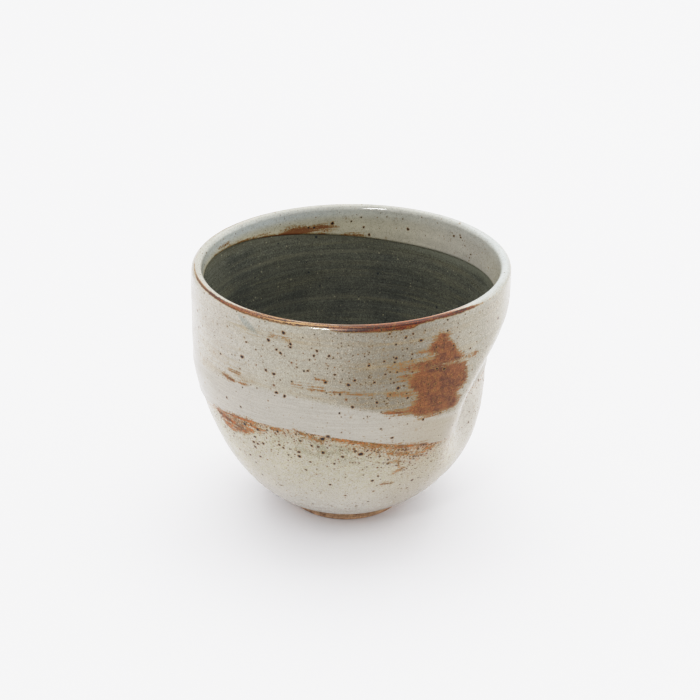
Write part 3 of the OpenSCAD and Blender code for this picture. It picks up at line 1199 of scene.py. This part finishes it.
class Recipe:
    """Mixes the nodes of one material, on coordinates in millimetres."""

    def __init__(self, name: str) -> None:
        """Starts a material.

        Args:
            name: Its name.
        """
        self.material = bpy.data.materials.new(name)
        self.material.use_nodes = True
        self.tree = self.material.node_tree
        self.tree.nodes.clear()
        self.surface = self.node("BsdfPrincipled")
        self.feed(self.node("OutputMaterial").inputs["Surface"], self.surface.outputs["BSDF"])
        place = self.node("TexCoord").outputs["Object"]
        self.place = self.vector("MULTIPLY", place, (1 / MM, 1 / MM, 1 / MM))

    def node(self, kind: str) -> bpy.types.Node:
        """A new shader node of this kind."""
        return self.tree.nodes.new("ShaderNode" + kind)

    def feed(self, socket: Socket, value: Feed) -> None:
        """Links a socket to another, or sets it.

        Args:
            socket: The socket.
            value: The other socket, or a number or tuple.
        """
        if isinstance(value, Socket):
            self.tree.links.new(value, socket)
        elif isinstance(value, tuple):
            socket.default_value = value[:len(socket.default_value)]
        else:
            socket.default_value = value

    def finish(self, values: dict[str, Feed]) -> bpy.types.Material:
        """Feeds the surface.

        Args:
            values: What each named socket of the surface gets.

        Returns:
            The material.
        """
        for name, value in values.items():
            self.feed(self.surface.inputs[name], value)
        return self.material

    def vector(self, operation: str, a: Feed, b: Feed) -> Socket:
        """One sum on coordinates.

        Args:
            operation: Name of the vector node's operation.
            a: First coordinates.
            b: Second coordinates.

        Returns:
            The result.
        """
        node = self.node("VectorMath")
        node.operation = operation
        self.feed(node.inputs[0], a)
        self.feed(node.inputs[1], b)
        return node.outputs[0]

    def cloud(self, where: Feed, scale: float, detail: float = 2, rough: float = 0.5) -> bpy.types.Node:
        """A noise node.

        Args:
            where: Its coordinates in mm.
            scale: Bumps per mm.
            detail: Octaves.
            rough: Share of each finer octave.

        Returns:
            The node.
        """
        node = self.node("TexNoise")
        self.feed(node.inputs["Vector"], where)
        for name, value in (("Scale", scale), ("Detail", detail), ("Roughness", rough)):
            node.inputs[name].default_value = value
        return node

    def noise(
        self, scale: float, detail: float = 2, rough: float = 0.5, along: Triple = (1, 1, 1)
    ) -> Socket:
        """Noise around 0.5 with bumps per mm, octaves, their share and an extra scale for each axis."""
        return self.cloud(self.vector("MULTIPLY", self.place, along), scale, detail, rough).outputs["Fac"]

    def stripes(self, across: Feed) -> Socket:
        """Noise drawn out round the cup, on a line that bends over the lip.

        Args:
            across: Where each place lies across the line.

        Returns:
            The noise's value.
        """
        bend = self.node("CombineXYZ")
        self.feed(bend.inputs[2], across)
        flat = self.vector("MULTIPLY", self.place, (0.12, 0.12, 0))
        return self.cloud(self.vector("ADD", flat, bend.outputs[0]), 1.0).outputs["Fac"]

    def read(self, name: str) -> Socket:
        """A field that the mesh carries."""
        node = self.node("Attribute")
        node.attribute_name = name
        return node.outputs["Fac"]

    def calc(self, operation: str, a: Feed, b: Feed = 0.0, c: Feed = 0.0) -> Socket:
        """One sum on numbers.

        Args:
            operation: Name of the math node's operation.
            a: First number.
            b: Second number.
            c: Third number.

        Returns:
            The result.
        """
        node = self.node("Math")
        node.operation = operation
        for socket, value in zip(node.inputs, (a, b, c)):
            self.feed(socket, value)
        return node.outputs[0]

    def times(self, a: Feed, b: Feed) -> Socket:
        """Product of two numbers."""
        return self.calc("MULTIPLY", a, b)

    def stir(self, base: Feed, *noises: tuple[Feed, float]) -> Feed:
        """A number unsettled by noises, each of them less 0.5 and times its share.

        Args:
            base: The number.
            noises: Each noise with its share.

        Returns:
            The unsettled number.
        """
        for noise, share in noises:
            base = self.calc("MULTIPLY_ADD", self.calc("SUBTRACT", noise, 0.5), share, base)
        return base

    def step(self, value: Feed, low: Feed, high: Feed, bottom: float = 0.0, top: float = 1.0) -> Socket:
        """Smooth step from one number to another.

        Args:
            value: What is stepped.
            low: Where the step starts.
            high: Where it ends.
            bottom: Result at the start.
            top: Result at the end.

        Returns:
            The stepped number.
        """
        node = self.node("MapRange")
        node.interpolation_type = "SMOOTHSTEP"
        for socket, number in zip(node.inputs, (value, low, high, bottom, top)):
            self.feed(socket, number)
        return node.outputs[0]

    def blend(self, share: Feed, first: Feed, second: Feed) -> Socket:
        """Mix of two colours.

        Args:
            share: How much of the second.
            first: First colour.
            second: Second colour.

        Returns:
            The mixed colour.
        """
        node = self.node("Mix")
        node.data_type = "RGBA"
        self.feed(node.inputs[0], share)
        self.feed(node.inputs[6], first)
        self.feed(node.inputs[7], second)
        return node.outputs[2]

    def lighten(self, colour: Feed, value: Feed, low: float, high: float) -> Socket:
        """Colour times a brightness that follows a noise value from 0.3 to 0.7.

        Args:
            colour: The colour.
            value: The noise value.
            low: Brightness at the low end.
            high: Brightness at the high end.

        Returns:
            The varied colour.
        """
        bright = self.step(value, 0.3, 0.7, low, high)
        node = self.node("VectorMath")
        node.operation = "SCALE"
        self.feed(node.inputs[0], colour)
        self.feed(node.inputs["Scale"], bright)
        return node.outputs[0]

    def dots(self, cell: float, size: float, density: Feed, jitter: float = 0.12) -> tuple[Socket, ...]:
        """Scattered round dots.

        Args:
            cell: Spacing of the dots in mm.
            size: Radius of the largest dots in mm.
            density: Share of the dots that show.
            jitter: How far their outlines wander, in mm.

        Returns:
            The dots' cores, their halos and a random tone for each, all from 0 to 1.
        """
        wander = self.cloud(self.place, 2.0).outputs["Color"]
        moved = self.vector("ADD", self.place, self.vector("MULTIPLY", wander, (jitter * 2,) * 3))
        node = self.node("TexVoronoi")
        self.feed(node.inputs["Vector"], moved)
        node.inputs["Scale"].default_value = 1 / cell
        parts = self.node("SeparateColor")
        self.feed(parts.inputs[0], node.outputs["Color"])
        shown = self.calc("LESS_THAN", parts.outputs[0], density)
        radius = self.calc("MULTIPLY_ADD", parts.outputs[1], 0.6 * size / cell, 0.4 * size / cell)
        far = self.calc("DIVIDE", node.outputs["Distance"], radius)
        core = self.times(self.step(far, 1.0, 0.55), shown)
        halo = self.times(self.step(far, 2.2, 0.8), shown)
        return core, halo, parts.outputs[2]

    def bump(self, height: Feed, deep: float, strength: float = 1.0, onto: Feed | None = None) -> Socket:
        """Relief from a height.

        Args:
            height: The height, about 0 to 1.
            deep: Its depth in mm.
            strength: Share of it that shows.
            onto: Normal that it is added to.

        Returns:
            The bumped normal.
        """
        node = self.node("Bump")
        node.inputs["Strength"].default_value = strength
        node.inputs["Distance"].default_value = deep * MM
        self.feed(node.inputs["Height"], height)
        if onto is not None:
            self.feed(node.inputs["Normal"], onto)
        return node.outputs[0]


@dataclass(frozen=True)
class PaleGlaze:
    """The pale grey-buff glaze, with its lap, iron and specks."""

    shoulder: Colour = shade(160, 155, 141)
    thick: Colour = shade(171, 166, 156)
    worn: Colour = shade(112, 105, 90)
    cream: Colour = shade(190, 184, 168)
    flank: Colour = shade(179, 173, 159)
    flank_green: Colour = shade(165, 159, 138)
    ash: Colour = shade(180, 175, 165)
    lap: Colour = shade(168, 163, 153)
    collar: Colour = shade(180, 175, 152)
    collar_grey: Colour = shade(178, 174, 163)
    warm: Colour = shade(132, 101, 48)
    tan: Colour = shade(146, 128, 94)
    # Bluish thick coat, also the pale colour of the painted highlight on the lip's crown.
    bluish_coat_and_lip_highlight: Colour = shade(186, 192, 190)
    smear: Colour = shade(120, 128, 124)
    brink: Colour = shade(128, 118, 86)
    brink_dark: Colour = shade(92, 84, 62)
    buff: Colour = shade(150, 138, 116)
    mossy: Colour = shade(140, 136, 112)
    pit: Colour = shade(112, 103, 84)
    rust: Colour = shade(119, 71, 39)
    rust_dark: Colour = shade(86, 47, 31)
    rust_light: Colour = shade(146, 98, 42)
    rust_bright: Colour = shade(154, 84, 32)
    toffee: Colour = shade(106, 62, 14)
    rim: Colour = shade(101, 42, 8)
    rim_dark: Colour = shade(44, 17, 5)
    rim_pale: Colour = shade(178, 146, 100)
    sunk: Colour = shade(88, 90, 76)
    blush: Colour = shade(172, 98, 58)
    speck_brown: Colour = shade(104, 62, 32)
    speck: Colour = shade(44, 29, 20)
    spot: Colour = shade(30, 21, 17)
    gloss: float = 0.22
    shine: float = 0.34

    def mix(self) -> bpy.types.Material:
        """Makes the material.

        Returns:
            The material.
        """
        mix = Recipe("pale_glaze")
        grain = mix.noise(4.2, 2, 0.75)
        mottle = mix.noise(1.3, 3, 0.65)
        streak = mix.noise(1.0, 3, 0.6, (0.09, 0.09, 1.3))
        hair = mix.noise(1.0, 2, 0.6, (0.16, 0.16, 3.4))
        colour = self._ground(mix, grain, mottle, streak, hair)
        colour, iron = self._iron(mix, colour, grain, mottle, streak, hair)
        colour, dark = self._specks(mix, colour, grain)
        rough = mix.step(mottle, 0.2, 0.8, self.gloss - 0.04, self.gloss + 0.06)
        rough = mix.calc("MULTIPLY_ADD", iron, 0.34, rough)
        rough = mix.calc("MULTIPLY_ADD", mix.read("lip"), -0.15, rough)
        pitted = mix.calc("MULTIPLY_ADD", dark, -0.5, grain)
        calm = mix.step(mix.read("lip"), 0, 1, 1, 0.3)
        relief = mix.bump(mix.times(mottle, calm), 0.035, 0.6)
        relief = mix.bump(mix.times(pitted, calm), 0.03, 0.7, relief)
        return mix.finish({
            "Base Color": colour, "Roughness": mix.calc("MAXIMUM", rough, 0.06),
            "Specular IOR Level": self.shine, "Normal": relief,
        })

    def _ground(self, mix: Recipe, grain: Feed, mottle: Feed, streak: Feed, hair: Feed) -> Feed:
        """Colour of the coats without their iron.

        Args:
            mix: The recipe.
            grain: Finest noise.
            mottle: Noise of about 1 mm.
            streak: Noise drawn out round the cup.
            hair: The same, finer.

        Returns:
            The colour.
        """
        shoulder = mix.blend(mix.read("thick"), self.shoulder, self.thick)
        worn = mix.times(mix.read("worn"), mix.step(streak, 0.25, 0.6, 0.75, 1))
        shoulder = mix.blend(worn, shoulder, self.worn)
        warmth = mix.times(mix.read("streaky"), mix.step(streak, 0.38, 0.66))
        warmth = mix.times(warmth, mix.step(grain, 0.3, 0.62, 0.45, 1))
        shoulder = mix.blend(warmth, shoulder, self.tan)
        flank = mix.blend(mix.step(mottle, 0.38, 0.64), self.flank, self.flank_green)
        mossy = mix.times(mix.read("mossy"), mix.step(mix.noise(0.5, 3, 0.7), 0.4, 0.6, 0.2, 0.9))
        flank = mix.blend(mossy, flank, self.mossy)
        flank = mix.blend(mix.read("ash"), flank, self.ash)
        colour = mix.blend(mix.read("below"), shoulder, flank)
        collar = mix.blend(mix.read("greyed"), self.collar, self.collar_grey)
        colour = mix.blend(mix.read("collar"), colour, collar)
        # Bluish thick coat inside the lip, and a painted highlight along the lip's crown, strongest on the
        # right.
        colour = mix.blend(mix.read("bluish_coat_and_lip_highlight"), colour, self.bluish_coat_and_lip_highlight)
        brink = mix.stir(mix.read("brink"), (mottle, 1.6))
        colour = mix.blend(mix.step(brink, 0.3, 1.1, 0, 0.85), colour, self.brink)
        colour = mix.blend(mix.step(brink, 0.95, 1.4, 0, 0.8), colour, self.brink_dark)
        fade = mix.stir(mix.read("fade"), (grain, 0.9))
        colour = mix.blend(mix.step(fade, 0.12, 0.8, 0, 0.5), colour, self.sunk)
        ragged = mix.stir(mix.read("band"), (streak, 0.6), (grain, 0.5))
        lapped = mix.step(ragged, 0.2, 0.85, 0, 0.92)
        calm = mix.step(lapped, 0, 1, 1, 0.45)
        colour = mix.lighten(colour, mix.noise(0.09, 2, 0.5), 0.95, 1.05)
        colour = mix.lighten(colour, mottle, 0.93, 1.07)
        colour = mix.blend(lapped, colour, mix.lighten(self.lap, hair, 0.92, 1.05))
        colour = mix.blend(mix.times(mix.read("buff"), 0.55), colour, self.buff)
        smear = mix.calc("MULTIPLY_ADD", grain, 0.8, mix.read("smear"))
        colour = mix.blend(mix.step(smear, -0.2, 0.7, 0, 0.6), colour, self.smear)
        light = mix.times(mix.step(grain, 0.52, 0.7, 0, 0.7), mix.step(worn, 0, 1, 1, 0.55))
        colour = mix.blend(mix.times(light, calm), colour, self.cream)
        deep = mix.step(grain, 0.47, 0.32, 0, 0.6)
        return mix.blend(mix.times(deep, calm), colour, self.pit)

    def _iron(
        self, mix: Recipe, colour: Feed, grain: Feed, mottle: Feed, streak: Feed, hair: Feed
    ) -> tuple[Feed, Feed]:
        """The bare iron on the colour, with dry edges drawn out round the cup.

        Args:
            mix: The recipe.
            colour: The colour without it.
            grain: Finest noise.
            mottle: Noise of about 1 mm.
            streak: Noise drawn out round the cup.
            hair: The same, finer.

        Returns:
            The colour, and where the iron is.
        """
        curdle = mix.noise(2.1, 1, 0.6)
        dry = mix.stir(0.0, (streak, 1.6), (hair, 2.6), (curdle, 1.6), (grain, 2.0))
        depth = mix.calc("ADD", mix.read("iron"), dry)
        iron = mix.step(depth, -0.08, 0.28)
        fringe = mix.step(depth, -0.6, -0.05)
        run = mix.stir(mix.read("fringe"), (curdle, 2.4), (grain, 2.4))
        run = mix.times(run, mix.step(mix.read("fringe"), 0.02, 0.2))
        blotch = mix.calc("MULTIPLY_ADD", mottle, 0.5, mix.times(mix.noise(0.5, 2), 0.5))
        rust = mix.blend(mix.read("below"), self.rust, self.rust_bright)
        rust = mix.blend(mix.step(blotch, 0.44, 0.6), rust, self.rust_dark)
        rust = mix.blend(mix.step(curdle, 0.56, 0.72, 0, 0.3), rust, self.rust_light)
        rust = mix.lighten(rust, grain, 0.66, 1.3)
        rust = mix.lighten(rust, hair, 0.84, 1.16)
        rust = mix.blend(mix.times(mix.read("collar"), 0.9), rust, self.toffee)
        colour = mix.blend(mix.step(run, 0.2, 0.85, 0, 0.7), colour, self.rust_light)
        colour = mix.blend(mix.step(run, 0.95, 1.3, 0, 0.75), colour, rust)
        for cell, size, most, pale, dark in (
            (0.45, 0.27, 0.9, self.speck_brown, self.rust_dark),
            (0.62, 0.34, 1.0, self.speck_brown, self.rust_dark),
            (0.9, 0.55, 0.9, self.speck_brown, self.speck),
        ):
            core, _, tone = mix.dots(cell, size, mix.times(mix.read("fringe"), most), 0.2)
            colour = mix.blend(mix.times(core, 0.92), colour, mix.blend(tone, pale, dark))
        colour = mix.blend(mix.times(fringe, 0.82), colour, self.warm)
        colour = mix.blend(mix.times(iron, 0.95), colour, rust)
        colour, rim = self._rim(mix, colour, grain, mottle)
        return colour, mix.calc("MAXIMUM", iron, mix.times(rim, 0.8))

    def _rim(self, mix: Recipe, colour: Feed, grain: Feed, mottle: Feed) -> tuple[Feed, Feed]:
        """The worn brown line on the lip, and the thin pink one inside it.

        Args:
            mix: The recipe.
            colour: The colour without them.
            grain: Finest noise.
            mottle: Noise of about 1 mm.

        Returns:
            The colour, and where the brown line is.
        """
        wander = mix.stir(0.0, (mottle, 0.55), (grain, 0.45))
        depth = mix.calc("ADD", mix.read("rim"), wander)
        line = mix.step(depth, -0.06, 0.12)
        stripes = mix.stripes(mix.times(mix.read("across"), 3.2))
        broken = mix.stir(stripes, (grain, 0.9), (mottle, 0.5))
        brown = mix.blend(mix.step(broken, 0.38, 0.54), self.rim_dark, self.rim)
        brown = mix.blend(mix.step(broken, 0.58, 0.74, 0, 0.7), brown, self.rust_light)
        pale = mix.times(mix.step(broken, 0.47, 0.6, 0, 0.9), mix.read("rubbed"))
        brown = mix.blend(pale, brown, self.rim_pale)
        low = mix.step(mix.calc("ADD", mix.read("rim_low"), wander), 0.3, 0.08, 0, 0.8)
        brown = mix.blend(low, brown, self.rim_dark)
        colour = mix.blend(mix.step(depth, -0.25, 0.0, 0, 0.8), colour, self.warm)
        colour = mix.blend(line, colour, brown)
        blush = mix.step(mix.calc("MULTIPLY_ADD", wander, 0.6, mix.read("blush")), -0.06, 0.12, 0, 0.65)
        return mix.blend(blush, colour, self.blush), line

    def _specks(self, mix: Recipe, colour: Feed, grain: Feed) -> tuple[Feed, Feed]:
        """The iron specks on the colour.

        Args:
            mix: The recipe.
            colour: The colour without them.
            grain: Finest noise.

        Returns:
            The colour, and where the specks' cores are.
        """
        density = mix.calc("MULTIPLY_ADD", mix.read("fringe"), 0.7, mix.read("speck"))
        dark: Feed = 0.0
        for cell, size, most, depth in (
            (1.2, 0.3, 0.9, 1.0), (0.75, 0.2, 1.0, 0.95), (0.5, 0.14, 1.0, 0.75),
        ):
            core, halo, tone = mix.dots(cell, size, mix.times(density, most))
            tint = mix.blend(mix.step(tone, 0.05, 0.35), self.speck_brown, self.speck)
            colour = mix.blend(mix.times(halo, 0.3 * depth), colour, self.warm)
            colour = mix.blend(mix.times(core, depth), colour, tint)
            dark = mix.calc("MAXIMUM", core, dark)
        spot = mix.stir(mix.read("spot"), (grain, 0.3))
        colour = mix.blend(mix.step(spot, 0.12, 0.5, 0, 0.6), colour, self.warm)
        colour = mix.blend(mix.step(spot, 0.45, 0.6), colour, self.speck_brown)
        colour = mix.blend(mix.step(spot, 0.54, 0.68), colour, self.spot)
        return colour, mix.calc("MAXIMUM", dark, mix.step(spot, 0.5, 0.7))


@dataclass(frozen=True)
class DarkGlaze:
    """The dark grey-green liner glaze, with light crystals and iron specks."""

    body: Colour = shade(99, 100, 90)
    deep: Colour = shade(84, 86, 80)
    olive: Colour = shade(112, 110, 92)
    crystal: Colour = shade(176, 172, 148)
    speck: Colour = shade(26, 36, 48)
    # Colour of the painted highlights along the throwing rings.
    ring: Colour = shade(124, 122, 106)
    veil: Colour = shade(142, 145, 130)
    gloss: float = 0.1
    shine: float = 0.42

    def mix(self) -> bpy.types.Material:
        """Makes the material.

        Returns:
            The material.
        """
        mix = Recipe("dark_glaze")
        grain = mix.noise(3.6, 3, 0.75)
        mottle = mix.noise(0.9, 3, 0.6)
        cloud = mix.noise(0.07, 2)
        streak = mix.noise(1.0, 3, 0.6, (0.05, 0.05, 0.8))
        colour = mix.blend(mix.step(cloud, 0.4, 0.65), self.body, self.deep)
        colour = mix.blend(mix.step(streak, 0.5, 0.72, 0, 0.5), colour, self.olive)
        colour = mix.lighten(colour, mottle, 0.92, 1.08)
        colour = mix.lighten(colour, mix.noise(1.0, 2, 0.6, (0.08, 0.08, 2.6)), 0.86, 1.15)
        colour = mix.lighten(colour, grain, 0.6, 1.5)
        colour = mix.blend(mix.times(mix.read("under_dip"), 0.4), colour, self.olive)
        colour = mix.blend(mix.times(mix.read("pool"), 0.4), colour, self.deep)
        veil = mix.stir(mix.read("veil"), (grain, 1.3))
        colour = mix.blend(mix.step(veil, 0.1, 1.0, 0, 0.5), colour, self.veil)
        # Painted highlights: light lines along the throwing rings, broken up by noise.
        ring = mix.times(mix.read("ring"), mix.step(streak, 0.35, 0.6, 0.15, 0.75))
        colour = mix.blend(mix.times(ring, mix.step(grain, 0.3, 0.6, 0.4, 1)), colour, self.ring)
        for cell, size, most, tint, depth in (
            (0.8, 0.18, 0.9, self.crystal, 0.4),
            (1.5, 0.28, 0.6, self.crystal, 0.6),
            (2.4, 0.42, 0.35, self.speck, 0.75),
        ):
            core, _, _ = mix.dots(cell, size, most)
            colour = mix.blend(mix.times(core, depth), colour, tint)
        rough = mix.step(mottle, 0.2, 0.8, self.gloss - 0.02, self.gloss + 0.06)
        relief = mix.bump(grain, 0.02, 0.6, mix.bump(mottle, 0.03, 0.6))
        return mix.finish({
            "Base Color": colour, "Roughness": rough, "Specular IOR Level": self.shine, "Normal": relief,
        })


@dataclass(frozen=True)
class BareClay:
    """Bare fired clay: matt, sandy and brown."""

    body: Colour = shade(184, 148, 115)
    dark: Colour = shade(136, 104, 78)
    sand: Colour = shade(204, 176, 142)
    pit: Colour = shade(58, 40, 30)

    def mix(self) -> bpy.types.Material:
        """Makes the material.

        Returns:
            The material.
        """
        mix = Recipe("bare_clay")
        grain = mix.noise(3.5, 3, 0.7)
        mottle = mix.noise(0.6, 3, 0.6)
        turned = mix.noise(1.0, 2, 0.6, (0.12, 0.12, 3.0))
        colour = mix.blend(mix.step(mottle, 0.4, 0.65), self.body, self.dark)
        colour = mix.lighten(colour, grain, 0.72, 1.28)
        colour = mix.lighten(colour, turned, 0.68, 1.22)
        core, _, _ = mix.dots(0.9, 0.16, 0.3)
        colour = mix.blend(mix.times(core, 0.7), colour, self.sand)
        hole, _, _ = mix.dots(1.4, 0.2, 0.25)
        colour = mix.blend(mix.times(hole, 0.7), colour, self.pit)
        rough = mix.step(grain, 0.3, 0.7, 0.78, 0.92)
        relief = mix.bump(turned, 0.05, 0.6, mix.bump(grain, 0.08, 0.8))
        return mix.finish({"Base Color": colour, "Roughness": rough, "Normal": relief})


@dataclass(frozen=True)
class SoftBox:
    """A square soft light that faces the cup.

    Attributes:
        name: Its name.
        place: Its middle in metres.
        side: Length of its sides in metres.
        glow: Its brightness, where 1 is the white of the picture.
        mirrored: Whether it is only seen mirrored in gloss, and lights nothing else.
    """

    name: str
    place: Triple
    side: float
    glow: float
    mirrored: bool = False

    def build(self, aim: Vector) -> None:
        """Makes the light.

        Args:
            aim: The point that it faces.
        """
        lamp = bpy.data.lights.new(self.name, "AREA")
        lamp.shape = "SQUARE"
        lamp.size = self.side
        lamp.energy = self.glow * math.pi * self.side ** 2
        light = add_object(self.name, lamp)
        light.location = self.place
        light.rotation_euler = (aim - light.location).to_track_quat("-Z", "Y").to_euler()
        light.visible_diffuse = not self.mirrored


@dataclass
class Studio:
    """The pale floor, the soft lights and the camera."""

    form: ThrownForm
    distance: float = 292.0
    elevation: float = 22.8245
    pitch: float = 26.7426
    yaw: float = -0.0647
    focal_px: float = 1337.29
    floor_r: float = 3.0
    floor_sides: int = 96
    white: float = 2.0
    tones: tuple[tuple[float, float], ...] = (
        (0.04, 0.027), (0.1, 0.084), (0.2, 0.188), (0.35, 0.347), (0.5, 0.5), (0.8, 0.74),
        (1.2, 0.885), (1.6, 0.925), (2.0, 0.945),
    )
    fill: float = 1.0
    boxes: tuple[SoftBox, ...] = (
        SoftBox("top_box", (0.0, 0.45, 1.1), 1.4, 2.0),
        SoftBox("left_box", (-1.05, 0.25, 0.5), 1.0, 0.8),
        SoftBox("right_box", (1.05, 0.25, 0.5), 1.0, 1.5),
        SoftBox("front_box", (-0.33, -0.75, 0.74), 0.09, 40.0),
        SoftBox("glint_box", (-0.285, -0.795, 0.73), 0.26, 60.0, mirrored=True),
    )

    def camera(self) -> None:
        """Sets up the camera at the photographed angle."""
        form = self.form
        lens = bpy.data.cameras.new("camera")
        lens.sensor_width = SENSOR_MM
        lens.lens = self.focal_px / IMAGE_SIDE * SENSOR_MM
        lens.clip_start = 0.01
        eye = add_object("camera", lens)
        lift = math.radians(self.elevation)
        eye.location = Vector((
            form.lean,
            -self.distance * math.cos(lift),
            form.cup_h + self.distance * math.sin(lift),
        )) * MM
        eye.rotation_euler = QUARTER - math.radians(self.pitch), 0, -math.radians(self.yaw)
        bpy.context.scene.camera = eye

    def floor(self) -> None:
        """Makes the plain pale floor."""
        mesh = bpy.data.meshes.new("floor")
        around = [2 * math.pi * k / self.floor_sides for k in range(self.floor_sides)]
        ring = [(self.floor_r * math.cos(angle), self.floor_r * math.sin(angle), 0) for angle in around]
        mesh.from_pydata(ring, [], [list(range(self.floor_sides))])
        floor = add_object("floor", mesh)
        mix = Recipe("floor_paper")
        tone = mix.lighten(shade(240, 240, 242), mix.noise(0.004, 2), 0.99, 1.01)
        mesh.materials.append(mix.finish({"Base Color": tone, "Roughness": 0.9, "Specular IOR Level": 0.2}))

    def light(self) -> None:
        """Sets up the soft boxes and the dim fill from all round."""
        aim = Vector((0, 0, self.form.cup_h / 2)) * MM
        for box in self.boxes:
            box.build(aim)
        world = bpy.data.worlds.new("studio_fill")
        world.use_nodes = True
        sky = world.node_tree.nodes["Background"]
        sky.inputs["Color"].default_value = shade(252, 252, 255)
        sky.inputs["Strength"].default_value = self.fill
        bpy.context.scene.world = world

    def develop(self) -> None:
        """Sets the picture's tones: deep darks, true mid tones and a soft shoulder towards white."""
        view = bpy.context.scene.view_settings
        view.view_transform = "Standard"
        view.use_curve_mapping = True
        tones = view.curve_mapping
        tones.white_level = (self.white, self.white, self.white)
        tones.extend = "HORIZONTAL"
        line = tones.curves[3]
        line.points[0].location = 0, 0
        line.points[1].location = 1, self.tones[-1][1]
        for light, tone in self.tones[:-1]:
            line.points.new(light / self.white, tone)
        tones.update()

    def build(self) -> None:
        """Sets up the whole studio."""
        self.camera()
        self.floor()
        self.light()
        self.develop()


def main() -> None:
    """Builds the cup and its studio."""
    logging.basicConfig(level=logging.INFO, format="%(name)s %(message)s")
    form = ThrownForm()
    Studio(form).build()
    coats = GlazeCoats(form)
    marks = KilnMarks(form)
    clay = ClayBody(form)
    pale = PaleCoats(form, coats, marks)
    clay_finish, pale_finish, dark_finish = BareClay().mix(), PaleGlaze().mix(), DarkGlaze().mix()
    for piece in (clay.wall(), clay.foot()):
        piece.data.materials.append(clay_finish)
    for piece in (pale.lower(), pale.upper(), IronSpots(form, coats, marks).build()):
        piece.data.materials.append(pale_finish)
    DarkLiner(form, coats).build().data.materials.append(dark_finish)


if __name__ == "__main__":
    main()
